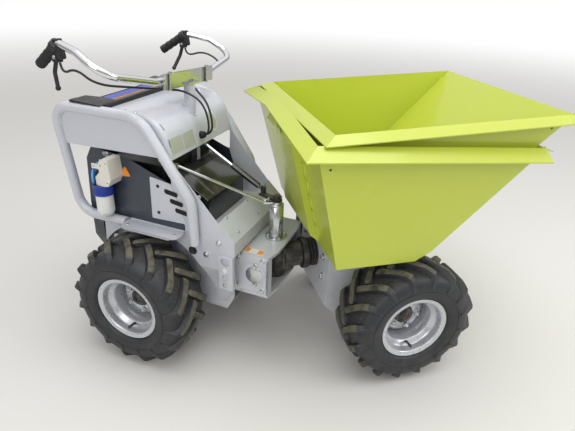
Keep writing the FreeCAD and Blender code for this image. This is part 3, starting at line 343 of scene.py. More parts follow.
def makeAgeing():
    # paint that varies a little, dust on what faces up, road film low down, bare worn edges
    tree, inp, out = effect("ageing", [
        ("Vector", "v", None), ("Paint", "c", None), ("Dust Colour", "c", None),
        ("Worn Colour", "c", None), ("Variation", "f", 0.05), ("Dust", "f", 0.2),
        ("Film", "f", 0.2), ("Wear", "f", 0.2), ("Wear Width", "f", 0.0015)],
        [("Color", "c"), ("Mask", "f"), ("Bare", "f")])
    o = inp.outputs
    wide = noise(tree, o["Vector"], 2.6, 2.0)
    shift = calc(tree, "MULTIPLY", calc(tree, "SUBTRACT", wide, 0.5), o["Variation"])
    fine = noise(tree, o["Vector"], 38.0, 5.0, 0.62)
    shift = calc(tree, "ADD", shift, calc(tree, "MULTIPLY", calc(tree, "SUBTRACT", fine, 0.5),
                                          calc(tree, "MULTIPLY", o["Variation"], 0.6)))
    hsv = add(tree, "HueSaturation", {"Color": o["Paint"], "Saturation": 1.0,
                                      "Value": calc(tree, "ADD", shift, 1.0)})
    geo = add(tree, "NewGeometry")
    normal = add(tree, "SeparateXYZ", {"Vector": geo.outputs["Normal"]})
    up = ramp(tree, normal.outputs["Z"], 0.25, 0.95)
    specks = ramp(tree, noise(tree, o["Vector"], 260.0, 4.0, 0.7), 0.52, 0.72)
    cloud = ramp(tree, noise(tree, o["Vector"], 9.0, 5.0, 0.65), 0.42, 0.7)
    dust = calc(tree, "MULTIPLY", up, calc(tree, "ADD", calc(tree, "MULTIPLY", cloud, 0.55),
                                           calc(tree, "MULTIPLY", specks, 0.45)))
    dust = calc(tree, "MULTIPLY", dust, o["Dust"], clamp=True)
    height = add(tree, "SeparateXYZ", {"Vector": o["Vector"]})
    low = ramp(tree, height.outputs["Z"], 0.62, 0.1)
    splash = ramp(tree, noise(tree, o["Vector"], 26.0, 6.0, 0.7), 0.4, 0.75)
    film = calc(tree, "MULTIPLY", calc(tree, "MULTIPLY", low, splash), o["Film"], clamp=True)
    mask = calc(tree, "MAXIMUM", dust, film)
    round_ = add(tree, "Bevel", {"Radius": o["Wear Width"]}, samples=4)
    bend = add(tree, "VectorMath", {0: round_.outputs["Normal"], 1: geo.outputs["Normal"]},
               operation="DOT_PRODUCT")
    edge = calc(tree, "MULTIPLY", calc(tree, "SUBTRACT", 1.0, bend.outputs["Value"]), 7.0,
                clamp=True)
    chips = ramp(tree, noise(tree, o["Vector"], 70.0, 4.0, 0.7), 0.47, 0.62)
    bare = calc(tree, "MULTIPLY", calc(tree, "MULTIPLY", edge, chips), o["Wear"], clamp=True)
    c = blendColour(tree, bare, hsv.outputs["Color"], o["Worn Colour"])
    c = blendColour(tree, mask, c, o["Dust Colour"])
    tree.links.new(c, out.inputs["Color"])
    tree.links.new(mask, out.inputs["Mask"])
    tree.links.new(bare, out.inputs["Bare"])
    return tree


def makeRelief():
    # small hills of one size: orange peel on paint, stipple on moulded plastic, skin on rubber
    tree, inp, out = effect("relief", [("Vector", "v", None), ("Scale", "f", 400.0),
                                       ("Dents", "f", 0.0)], [("Height", "f")])
    o = inp.outputs
    small = noise(tree, o["Vector"], o["Scale"], 2.0)
    large = noise(tree, o["Vector"], 11.0, 3.0)
    h = calc(tree, "ADD", small, calc(tree, "MULTIPLY", large, o["Dents"]))
    tree.links.new(h, out.inputs["Height"])
    return tree


def makeRubbing():
    # fine straight scratches in two directions, as a mask
    tree, inp, out = effect("rubbing", [("Vector", "v", None), ("Amount", "f", 0.3)],
                            [("Mask", "f")])
    o = inp.outputs
    total = None
    for turn, size in (((0.4, 0.2, 0.7), (18.0, 900.0, 40.0)), ((1.2, 0.9, 0.1), (700.0, 25.0, 30.0))):
        m = add(tree, "Mapping", {"Vector": o["Vector"], "Rotation": turn, "Scale": size})
        line = ramp(tree, noise(tree, m.outputs["Vector"], 1.0, 2.0), 0.62, 0.7)
        total = line if total is None else calc(tree, "MAXIMUM", total, line)
    patch = ramp(tree, noise(tree, o["Vector"], 14.0, 3.0), 0.45, 0.65)
    tree.links.new(calc(tree, "MULTIPLY", calc(tree, "MULTIPLY", total, patch), o["Amount"],
                        clamp=True), out.inputs["Mask"])
    return tree


ageing, relief, rubbing = makeAgeing(), makeRelief(), makeRubbing()
print("surface effects made")


def useEffect(tree, group, **values):
    n = tree.nodes.new("ShaderNodeGroup")
    n.node_tree = group
    for k, v in values.items():
        socket = n.inputs[k.replace("_", " ")]
        if isinstance(v, bpy.types.NodeSocket):
            tree.links.new(v, socket)
        else:
            socket.default_value = v
    return n.outputs


def finish(name, look):
    # one finish: ageing into the colour and roughness, relief into the bump
    mat = bpy.data.materials.new(name)
    mat.use_nodes = True
    tree = mat.node_tree
    shader = tree.nodes["Principled BSDF"]
    coords = add(tree, "TexCoord").outputs["Object"]
    age = useEffect(tree, ageing, Vector=coords, Paint=ink(*look["paint"]),
                    Dust_Colour=ink(*look.get("dustColour", (176, 164, 146))),
                    Worn_Colour=ink(*look.get("worn", (150, 150, 152))),
                    Variation=look.get("variation", 0.06), Dust=look.get("dust", 0.25),
                    Film=look.get("film", 0.3), Wear=look.get("wear", 0.3),
                    Wear_Width=look.get("wearWidth", 1.5) / 1000.0)
    tree.links.new(age["Color"], shader.inputs["Base Color"])
    rub = useEffect(tree, rubbing, Vector=coords, Amount=look.get("rubbing", 0.25))
    dull = calc(tree, "MAXIMUM", age["Mask"], rub["Mask"])
    rough = calc(tree, "MULTIPLY_ADD", dull, look.get("dulling", 0.35), look["rough"], clamp=True)
    tree.links.new(rough, shader.inputs["Roughness"])
    if look.get("metal"):
        metal = calc(tree, "MULTIPLY_ADD", age["Mask"], -look["metal"], look["metal"], clamp=True)
        tree.links.new(metal, shader.inputs["Metallic"])
    elif look.get("wear", 0.3) > 0:
        tree.links.new(calc(tree, "MULTIPLY", age["Bare"], 0.6), shader.inputs["Metallic"])
    shader.inputs["Coat Weight"].default_value = look.get("coat", 0.0)
    shader.inputs["Coat Roughness"].default_value = look.get("coatRough", 0.06)
    shader.inputs["IOR"].default_value = look.get("ior", 1.5)
    grain = useEffect(tree, relief, Vector=coords, Scale=look.get("grain", 420.0),
                      Dents=look.get("dents", 0.0))
    bump = add(tree, "Bump", {"Height": grain["Height"], "Strength": look.get("bump", 0.12),
                              "Distance": look.get("bumpDepth", 0.4) / 1000.0})
    tree.links.new(bump.outputs["Normal"], shader.inputs["Normal"])
    if look.get("coat"):
        tree.links.new(bump.outputs["Normal"], shader.inputs["Coat Normal"])
    return mat


looks = {
    "limePaint": {"paint": (186, 198, 62), "rough": 0.34, "coat": 0.45, "coatRough": 0.07,
                  "grain": 330.0, "bump": 0.16, "dents": 0.8, "dust": 0.16, "film": 0.12,
                  "wear": 0.12, "worn": (150, 158, 70), "dustColour": (190, 184, 150),
                  "variation": 0.07},
    "greyPaint": {"paint": (196, 199, 207), "rough": 0.3, "coat": 0.5, "coatRough": 0.06,
                  "grain": 360.0, "bump": 0.13, "dents": 0.5, "dust": 0.3, "film": 0.4,
                  "wear": 0.25, "worn": (120, 122, 126)},
    "darkPaint": {"paint": (46, 55, 66), "rough": 0.36, "coat": 0.25, "coatRough": 0.1,
                  "grain": 380.0, "bump": 0.14, "dust": 0.4, "film": 0.45, "wear": 0.3},
    "axlePaint": {"paint": (30, 31, 33), "rough": 0.48, "grain": 300.0, "bump": 0.3,
                  "dust": 0.5, "film": 0.6, "wear": 0.35},
    "wheelSilver": {"paint": (196, 199, 204), "rough": 0.27, "metal": 0.55, "grain": 420.0,
                    "bump": 0.08, "dust": 0.15, "film": 0.22, "wear": 0.2,
                    "worn": (120, 122, 126), "coat": 0.3},
    "zinc": {"paint": (200, 203, 204), "rough": 0.2, "metal": 0.95, "grain": 160.0,
             "bump": 0.1, "dust": 0.2, "film": 0.25, "wear": 0.0, "rubbing": 0.5,
             "variation": 0.14},
    "chrome": {"paint": (222, 224, 227), "rough": 0.06, "metal": 1.0, "grain": 60.0,
               "bump": 0.02, "dust": 0.08, "film": 0.0, "wear": 0.0, "rubbing": 0.5,
               "dulling": 0.25, "variation": 0.03},
    "blackGloss": {"paint": (20, 23, 22), "rough": 0.16, "coat": 0.6, "coatRough": 0.05,
                   "grain": 300.0, "bump": 0.08, "dents": 1.2, "dust": 0.3, "film": 0.1,
                   "wear": 0.1, "worn": (60, 62, 62)},
    "blackPlastic": {"paint": (24, 25, 27), "rough": 0.42, "grain": 900.0, "bump": 0.35,
                     "dust": 0.3, "film": 0.3, "wear": 0.12, "worn": (70, 72, 74)},
    "softRubber": {"paint": (22, 23, 25), "rough": 0.62, "grain": 700.0, "bump": 0.4,
                   "dust": 0.35, "film": 0.5, "wear": 0.2, "worn": (60, 60, 60)},
    "cableSkin": {"paint": (18, 18, 20), "rough": 0.38, "grain": 500.0, "bump": 0.15,
                  "dust": 0.2, "film": 0.0, "wear": 0.0},
    "creamPlastic": {"paint": (222, 218, 206), "rough": 0.38, "grain": 800.0, "bump": 0.2,
                     "dust": 0.3, "film": 0.2, "wear": 0.1, "worn": (180, 176, 165),
                     "dustColour": (150, 142, 128)},
    "whitePlastic": {"paint": (228, 228, 224), "rough": 0.34, "grain": 800.0, "bump": 0.18,
                     "dust": 0.3, "film": 0.25, "wear": 0.1, "worn": (190, 188, 180),
                     "dustColour": (150, 142, 128)},
    "darkBlue": {"paint": (14, 52, 150), "rough": 0.36, "grain": 800.0, "bump": 0.2,
                 "dust": 0.25, "film": 0.15, "wear": 0.12, "worn": (60, 90, 160)},
    "lightBlue": {"paint": (96, 162, 226), "rough": 0.34, "grain": 800.0, "bump": 0.2,
                  "dust": 0.2, "film": 0.15, "wear": 0.12, "worn": (140, 180, 220)},
    "label": {"paint": (226, 226, 222), "rough": 0.42, "grain": 200.0, "bump": 0.05,
              "dust": 0.3, "film": 0.2, "wear": 0.0, "variation": 0.05},
    "silverLabel": {"paint": (196, 200, 192), "rough": 0.3, "metal": 0.3, "grain": 200.0,
                    "bump": 0.05, "dust": 0.2, "film": 0.2, "wear": 0.0},
    "orange": {"paint": (236, 140, 32), "rough": 0.4, "grain": 300.0, "bump": 0.05,
               "dust": 0.2, "film": 0.1, "wear": 0.0},
    "blueStripe": {"paint": (64, 84, 170), "rough": 0.35, "grain": 300.0, "bump": 0.06,
                   "dust": 0.3, "film": 0.0, "wear": 0.0, "variation": 0.16},
    "shadowGap": {"paint": (12, 13, 14), "rough": 0.8, "grain": 300.0, "bump": 0.1,
                  "dust": 0.1, "film": 0.0, "wear": 0.0},
}
mats = {name: finish(name, look) for name, look in looks.items()}
print("finishes made:", len(mats))


def tyreFinish():
    # rubber: the tread attribute is 0 on the flank, 0.5 between the lugs and 1 on their tops
    mat = bpy.data.materials.new("treadRubber")
    mat.use_nodes = True
    tree = mat.node_tree
    shader = tree.nodes["Principled BSDF"]
    coords = add(tree, "TexCoord").outputs["Object"]
    tread = add(tree, "Attribute", attribute_name="tread").outputs["Fac"]
    age = useEffect(tree, ageing, Vector=coords, Paint=ink(33, 36, 41),
                    Dust_Colour=ink(92, 86, 76), Worn_Colour=ink(70, 70, 70),
                    Variation=0.12, Dust=0.25, Film=0.35, Wear=0.25, Wear_Width=0.002)
    blotch = noise(tree, coords, 42.0, 6.0, 0.68)
    grit = ramp(tree, noise(tree, coords, 240.0, 4.0, 0.7), 0.5, 0.68)
    top = calc(tree, "MULTIPLY", ramp(tree, tread, 0.86, 0.97), ramp(tree, blotch, 0.3, 0.62))
    ground = calc(tree, "MULTIPLY", calc(tree, "SUBTRACT", ramp(tree, tread, 0.25, 0.5),
                                         ramp(tree, tread, 0.55, 0.7)), grit, clamp=True)
    c = blendColour(tree, calc(tree, "MULTIPLY", top, 0.8), age["Color"], ink(112, 107, 88))
    c = blendColour(tree, calc(tree, "MULTIPLY", ground, 0.55), c, ink(122, 116, 102))
    tree.links.new(c, shader.inputs["Base Color"])
    rough = calc(tree, "MULTIPLY_ADD", calc(tree, "MAXIMUM", age["Mask"], top), 0.3, 0.46,
                 clamp=True)
    tree.links.new(rough, shader.inputs["Roughness"])
    skin = useEffect(tree, relief, Vector=coords, Scale=520.0, Dents=0.6)
    h = calc(tree, "ADD", skin["Height"], calc(tree, "MULTIPLY", grit, 1.6))
    bump = add(tree, "Bump", {"Height": h, "Strength": 0.35, "Distance": 0.0006})
    tree.links.new(bump.outputs["Normal"], shader.inputs["Normal"])
    return mat


mats["treadRubber"] = tyreFinish()


def makeStage():
    setup = {"floorRadius": 60.0, "fadeFrom": 2.6, "fadeTo": 11.0, "floorColour": (214, 212, 208)}
    r = np.concatenate([np.linspace(0.05, 12, 60), np.geomspace(13, setup["floorRadius"], 12)])
    t = np.linspace(0, 2 * math.pi, 96, endpoint=False)
    points = np.stack([np.outer(r, np.cos(t)), np.outer(r, np.sin(t)),
                       np.full((len(r), 96), -0.0005)], -1).reshape(-1, 3)
    faces = gridFaces(len(r), 96, False, True) + [tuple(range(96))]
    mesh = bpy.data.meshes.new("floor")
    mesh.from_pydata(points.tolist(), [], faces)
    floor = bpy.data.objects.new("floor", mesh)
    bpy.context.scene.collection.objects.link(floor)
    mat = bpy.data.materials.new("floorPale")
    mat.use_nodes = True
    tree = mat.node_tree
    shader = tree.nodes["Principled BSDF"]
    shader.inputs["Base Color"].default_value = ink(*setup["floorColour"])
    shader.inputs["Roughness"].default_value = 0.6
    coords = add(tree, "TexCoord").outputs["Object"]
    far = add(tree, "VectorMath", {0: coords}, operation="LENGTH").outputs["Value"]
    fade = ramp(tree, far, setup["fadeFrom"], setup["fadeTo"])
    path = add(tree, "LightPath").outputs
    seen = path["Is Camera Ray"]
    glow = add(tree, "Emission", {"Color": (1, 1, 1, 1), "Strength": 1.0})
    both = tree.nodes.new("ShaderNodeMixShader")
    tree.links.new(calc(tree, "MULTIPLY", fade, seen), both.inputs[0])
    tree.links.new(shader.outputs[0], both.inputs[1])
    tree.links.new(glow.outputs[0], both.inputs[2])
    tree.links.new(both.outputs[0], tree.nodes["Material Output"].inputs["Surface"])
    mesh.materials.append(mat)

    world = bpy.data.worlds.new("studio")
    bpy.context.scene.world = world
    world.use_nodes = True
    tree = world.node_tree
    back = tree.nodes["Background"]
    back.inputs["Color"].default_value = (1, 1, 1, 1)
    path = add(tree, "LightPath").outputs
    # plain white behind the object; a softer level lights it, brighter overhead
    up = add(tree, "SeparateXYZ", {"Vector": add(tree, "TexCoord").outputs["Generated"]})
    level = ramp(tree, up.outputs["Z"], -0.1, 0.9, 0.36, 0.74)
    glossy = calc(tree, "MULTIPLY", path["Is Glossy Ray"],
                  ramp(tree, up.outputs["Z"], -0.05, 0.6, 0.16, 1.0))
    strength = calc(tree, "MAXIMUM", path["Is Camera Ray"],
                    calc(tree, "MAXIMUM", glossy,
                         calc(tree, "MULTIPLY", level,
                              calc(tree, "SUBTRACT", 1.0, path["Is Glossy Ray"]))))
    tree.links.new(strength, back.inputs["Strength"])

    lamps = {   # place, aims at, size, power
        "overhead": ((0.3, -0.4, 4.2), (0.1, 0.0, 0.4), 3.6, 98.0),
        "window": ((3.6, -2.2, 2.6), (0.2, 0.0, 0.6), 2.2, 58.0),
        "front": ((-2.6, -3.4, 2.4), (0.0, 0.0, 0.5), 2.4, 45.0),
    }
    for name, (at, to, size, power) in lamps.items():
        data = bpy.data.lights.new(name, "AREA")
        data.shape, data.size, data.energy = "SQUARE", size, power
        lamp = bpy.data.objects.new(name, data)
        bpy.context.scene.collection.objects.link(lamp)
        lamp.location = at
        aim = unit(np.array(to) - np.array(at))
        lamp.rotation_euler = Vector(aim).to_track_quat("-Z", "Y").to_euler()


def makeCamera():
    view = {"place": (-0.4729, -1.5827, 1.2784), "focalPixels": 482.1, "heading": (0.2956, 0.9553, 0),
            "pitchDeg": 27.113, "rollDeg": 2.621}
    h = unit(view["heading"])
    right0 = np.array([h[1], -h[0], 0.0])
    p, r = math.radians(view["pitchDeg"]), math.radians(view["rollDeg"])
    ahead = h * math.cos(p) - np.array([0, 0, 1.0]) * math.sin(p)
    up0 = h * math.sin(p) + np.array([0, 0, 1.0]) * math.cos(p)
    right = math.cos(r) * right0 + math.sin(r) * up0
    up = -math.sin(r) * right0 + math.cos(r) * up0
    data = bpy.data.cameras.new("camera")
    data.sensor_width = 36.0
    data.lens = view["focalPixels"] / 575.0 * 36.0
    data.clip_start, data.clip_end = 0.05, 200.0
    cam = bpy.data.objects.new("camera", data)
    bpy.context.scene.collection.objects.link(cam)
    m = Matrix.Identity(4)
    for i in range(3):
        m[i][0], m[i][1], m[i][2] = right[i], up[i], -ahead[i]
        m[i][3] = view["place"][i]
    cam.matrix_world = m
    bpy.context.scene.camera = cam


makeStage()
makeCamera()
bpy.context.scene.view_settings.view_transform = "Standard"
print("stage and camera made")


# wheels, drawn about the y axis with the outer side towards -y

def placeWheel(shape, x, outwardSide):
    points, faces = shape
    p = points.copy()
    if outwardSide > 0:
        p[:, 1] *= -1
    p = p + (x, wheelPlace["trackY"] * outwardSide, wheelPlace["height"])
    return p, outward(p, faces)


wheelPlace = {"axleX": 390.0, "trackY": 280.0, "height": 227.5}

tyreShape = {"beadR": 103.6, "half": 97.6, "treadR": 208.5, "lugs": 16, "lugTop": 227.2}


def carcassProfile(count=15):
    # flank and tread as rows of (y, r): half an oval squared off by its power, from bead to crown
    rows = [(76.0, 103.8), (80.2, 106.5), (81.0, 112.0), (80.8, 118.6), (82.5, 121.0),
            (86.5, 122.6), (90.0, 127.0), (93.2, 133.5), (95.6, 141.0), (97.2, 150.0),
            (97.6, 160.0), (97.0, 170.0), (94.8, 180.0), (91.0, 189.5), (85.5, 196.5),
            (77.0, 201.8), (64.0, 205.0), (46.0, 207.0), (24.0, 208.2)]
    left = [(-y, r) for y, r in rows]
    return left + [(0.0, 208.5)] + rows[::-1]


def treadBar(turn, side, fine=15):
    # One lug. Its spine runs from past the centre line to the shoulder and down the flank;
    # across it the section is a flat-topped hump: centre + w(s) across, h(s) up, edges rounded.
    s = np.linspace(0, 1, fine)
    y = np.interp(s, [0, 0.08, 0.6, 0.82, 1], [-7, -3, 54, 80, 96.5])
    angle = np.interp(s, [0, 0.6, 0.82, 1], [-1.0, 16.0, 21.6, 23.5])
    foot = np.interp(s, [0, 0.6, 0.82, 0.92, 1], [204, 201, 189, 178, 164])
    top = np.interp(s, [0, 0.04, 0.6, 0.82, 0.92, 1], [221.0, 227.0, 225.4, 218.2, 203.0, 171.0])
    wide = np.interp(s, [0, 0.1, 0.6, 0.82, 1], [9.0, 11.2, 11.6, 12.6, 10.5])
    # section, from foot to foot over the top: share of half width, share of height
    sec = np.array([(-1.22, -0.05), (-1.06, 0.5), (-0.97, 0.9), (-0.84, 1.0), (-0.3, 1.0),
                    (0.3, 1.0), (0.84, 1.0), (0.97, 0.9), (1.06, 0.5), (1.22, -0.05),
                    (0.6, -0.3), (-0.6, -0.3)])
    lean = np.interp(s, [0, 0.6, 1], [0.66, 0.7, 0.95])
    across = sec[:, 0][None] * (wide * lean)[:, None]
    back = sec[:, 0][None] * (wide * np.sqrt(np.clip(1 - lean ** 2, 0, 1)))[:, None]
    r = foot[:, None] + (top - foot)[:, None] * sec[:, 1][None]
    t = np.radians(turn + angle)[:, None]
    yy = side * (y[:, None] - back)
    points = np.stack([r * np.sin(t) + across * np.cos(t), yy * np.ones_like(r),
                       r * np.cos(t) - across * np.sin(t)], -1).reshape(-1, 3)
    k = len(sec)
    faces = gridFaces(fine, k, False, True)
    faces += [tuple(range(k)), tuple(reversed(range((fine - 1) * k, fine * k)))]
    height = np.tile(sec[:, 1][None], (fine, 1))
    tread = np.where(height > 0.95, 1.0, np.where(height > 0.8, 0.86, 0.6))
    tread = tread * np.where(s > 0.9, 0.35, np.where(s > 0.8, 0.8, 1.0))[:, None]
    return points, outward(points, faces), tread.ravel()


def tyreMesh():
    prof = np.array(carcassProfile())
    steps = 128
    points, faces = turned([tuple(p) for p in prof], steps, closed=True)
    y = np.tile(prof[:, 0], steps)
    r = np.tile(prof[:, 1], steps)
    tread = np.clip((r - 196.0) / 10.0, 0, 1) * 0.5 * (np.abs(y) < 84)
    shapes, marks = [(points, faces)], [tread]
    # two raised rings on each flank: the bead guard and the moulding line
    for yy, rr, half in ((82.8, 121.5, 2.0), (96.8, 156.0, 1.2)):
        for side in (-1, 1):
            ring = turned([(side * (yy + 1.8), rr - half * 0.4), (side * (yy + 1.8), rr + half * 0.4),
                           (side * (yy - 2.5), rr + half), (side * (yy - 2.5), rr - half)], 128,
                          closed=True)
            shapes.append(ring)
            marks.append(np.zeros(len(ring[0])))
    step = 360.0 / tyreShape["lugs"]
    for k in range(tyreShape["lugs"]):
        for turn, side in ((k * step, 1.0), ((k + 0.5) * step, -1.0)):
            p, f, m = treadBar(turn, side)
            shapes.append((p, f))
            marks.append(m)
    return joined(shapes), np.concatenate(marks)


def rimMesh():
    # steel barrel 3 thick as one closed ring of (y, r): rolled flange, bead seat, hump, well
    outer = [(-84.0, 115.0), (-83.6, 117.2), (-82.0, 117.6), (-80.4, 116.4), (-79.6, 113.0),
             (-79.0, 105.5), (-77.0, 103.2), (-60.0, 102.6), (-56.0, 103.2), (-52.0, 102.0),
             (-47.0, 98.0), (-41.5, 87.0), (-38.0, 84.2), (17.0, 84.2), (20.5, 87.0),
             (26.5, 97.5), (31.0, 101.0), (60.0, 102.4), (77.0, 103.2), (79.0, 105.5),
             (79.6, 113.0), (80.4, 116.4), (82.0, 117.6), (83.6, 117.2), (84.0, 115.0)]
    inner = [(83.0, 112.4), (82.2, 106.0), (80.0, 101.0), (77.0, 100.2), (60.0, 99.4),
             (33.0, 98.0), (29.0, 95.0), (23.0, 85.0), (19.0, 81.2), (-40.0, 81.2),
             (-44.2, 84.4), (-49.6, 95.4), (-53.8, 99.0), (-57.0, 100.2), (-62.0, 99.8),
             (-77.0, 100.2), (-80.0, 101.2), (-82.2, 106.0), (-83.0, 112.4)]
    barrel = turned(outer + inner, 128, closed=True)
    # pressed disc: (y, r) from the well in to the hub hole, one rounded step and a raised land
    face = [(16.6, 81.4), (13.6, 80.6), (12.6, 76.0), (10.6, 73.5), (4.0, 69.5), (-0.4, 66.5),
            (-2.0, 62.5), (-2.0, 36.0), (-1.0, 33.4), (1.8, 32.4)]
    back = [(2.8, 33.0), (3.0, 36.0), (3.0, 61.0), (4.4, 63.5), (9.0, 67.0), (15.4, 71.0),
            (17.6, 74.5), (18.2, 81.4)]
    disc = turned(face + back, 96, closed=True)
    weld = turned([(16.0, 81.6), (13.8, 80.4), (12.8, 78.4), (15.6, 78.0), (18.0, 80.0)], 96, closed=True)
    return joined([barrel, disc, weld])


def hubMesh():
    shapes = [turned([(34.0, 31.5), (11.0, 31.5), (11.0, 59.0), (10.2, 59.8), (3.2, 59.8), (3.2, 33.0),
                      (-12.0, 31.5), (-14.0, 29.5), (-14.0, 17.4), (34.0, 17.4)], 64, closed=True)]
    # shaft end with its circlip groove and washer
    shapes.append(turned([(-15.5, 0.05), (-15.5, 13.5), (-14.2, 16.6), (2.0, 16.6), (2.0, 0.05)], 40))
    shapes.append(turned([(-14.6, 20.5), (-16.4, 20.5), (-16.4, 16.9), (-14.6, 16.9)], 40, closed=True))
    return joined(shapes)


def nutsMesh():
    shapes = []
    for k in range(5):
        t = math.radians(90 + 72 * k)
        x, z = 48.0 * math.sin(t), 48.0 * math.cos(t)
        # cone seat, six-sided nut, stud end with a chamfer
        shapes.append(hexHead((x, -2.0, z), (0, -1, 0), 18.0, 11.0, washer=2.2))
        shapes.append(stretchedAlong(turned([(0, 5.0), (5.0, 5.0), (6.5, 3.9), (6.5, 0.05)][::1], 14),
                                     (x, -14.5, z), (0, -1, 0)))
    return joined(shapes)


def valveMesh():
    # rubber valve standing in the well, leaning outwards, with its cap
    stem = swept(bentPath([(0, -46, -88), (0, -52, -82), (0, -74, -80)], [4], 5), 4.2, 12)
    cap = swept([(0, -72, -80.2), (0, -80, -79.4), (0, -83, -79.1)], [5.0, 5.0, 3.6], 12)
    return joined([stem, cap])


def makeWheels():
    tyre, tread = tyreMesh()
    rim, hub, nuts, valve = rimMesh(), hubMesh(), nutsMesh(), valveMesh()
    for end, x, place in (("rear", -wheelPlace["axleX"], rearAt), ("front", wheelPlace["axleX"], frontAt)):
        for hand, side in (("right", -1), ("left", 1)):
            body = "%s_%s_wheel" % (end, hand)
            key = "%s_%s_" % (end, hand)
            t = piece(key + "tyreTread", placeWheel(tyre, x, side), mats["treadRubber"], place, body,
                      replaces=[key + "tyre"], sharp=38.0)
            layer = t.data.attributes.new("tread", "FLOAT", "POINT")
            layer.data.foreach_set("value", tread.astype(np.float32))
            piece(key + "rimShell", placeWheel(rim, x, side), mats["wheelSilver"], place, body,
                  replaces=[key + "rim"], sharp=50.0)
            piece(key + "hubBoss", placeWheel(hub, x, side), mats["axlePaint"], place, body,
                  replaces=[key + "hub"], sharp=35.0)
            piece(key + "wheelNuts", placeWheel(nuts, x, side), mats["zinc"], place, body,
                  sharp=30.0)
            piece(key + "valve", placeWheel(valve, x, side), mats["softRubber"], place, body)


makeWheels()
print("wheels made")


def makeSmoothing():
    # a geometry group: smooth faces, with edges sharper than the angle kept hard
    tree = bpy.data.node_groups.new("smoothFaces", "GeometryNodeTree")
    tree.interface.new_socket(name="Geometry", in_out="INPUT", socket_type="NodeSocketGeometry")
    tree.interface.new_socket(name="Geometry", in_out="OUTPUT", socket_type="NodeSocketGeometry")
    inp, out = tree.nodes.new("NodeGroupInput"), tree.nodes.new("NodeGroupOutput")
    clear = tree.nodes.new("GeometryNodeRemoveAttribute")
    clear.inputs["Name"].default_value = "custom_normal"
    smooth = tree.nodes.new("GeometryNodeSetShadeSmooth")
    smooth.domain = "FACE"
    hard = tree.nodes.new("GeometryNodeSetShadeSmooth")
    hard.domain = "EDGE"
    hard.inputs["Shade Smooth"].default_value = False
    edge = tree.nodes.new("GeometryNodeInputMeshEdgeAngle")
    test = tree.nodes.new("FunctionNodeCompare")
    test.data_type, test.operation = "FLOAT", "GREATER_THAN"
    test.inputs[1].default_value = math.radians(28)
    link = tree.links.new
    link(inp.outputs[0], clear.inputs["Geometry"])
    link(clear.outputs[0], smooth.inputs["Geometry"])
    link(smooth.outputs[0], hard.inputs["Geometry"])
    link(edge.outputs[0], test.inputs[0])
    link(test.outputs[0], hard.inputs["Selection"])
    link(hard.outputs[0], out.inputs[0])
    return tree


smoothFaces = makeSmoothing()


def dress(node, look, edge=0.8):
    obj = nodes[node]
    obj.data.materials.clear()
    obj.data.materials.append(mats[look])
    m = obj.modifiers.new("seams", "WELD")
    m.merge_threshold = 0.00002
    m = obj.modifiers.new("smooth", "NODES")
    m.node_group = smoothFaces
    if edge > 0:
        m = obj.modifiers.new("edges", "BEVEL")
        m.width, m.segments, m.limit_method = edge / 1000.0, 2, "ANGLE"
        m.angle_limit = math.radians(30)
        m.harden_normals = True
        m.use_clamp_overlap = True


dressing = {   # node: finish, edge rounding
    "cover_plate": ("greyPaint", 0.8),
    "body_panels": ("darkPaint", 0.8),
    "battery_block": ("blackPlastic", 3.0), "battery_cover": ("blackGloss", 2.0),
    "bar_clamp": ("zinc", 0.8), "clamp_bolts": ("zinc", 0.0),
    "lashing_plates": ("greyPaint", 1.2), 
    "pivot_post": ("zinc", 0.6), "stay_rod": ("zinc", 0.0), "damper_mount": ("zinc", 0.5),
    "damper_barrel": ("blackGloss", 0.4), "damper_rod": ("chrome", 0.0),
    "rear_axle": ("axlePaint", 0.8), "front_axle": ("axlePaint", 0.8), "knuckle": ("axlePaint", 0.8),
    "front_chassis": ("greyPaint", 0.8), "outer_skip": ("limePaint", 1.0),
    "inner_tub": ("limePaint", 0.9), "tip_pins": ("zinc", 1.0),
}
for node, (look, edge) in dressing.items():
    dress(node, look, edge)
print("CAD nodes dressed")
# rear unit

loopShape = {"y": 217.5, "r": 17.0, "bends": [80, 100, 60, 70],
             "route": [(-199, 457), (-203, 606), (-371, 856), (-711, 856), (-660, 478),
                       (-468, 478)],
             "webFront": (-293, 740), "webRear": (-694, 729)}


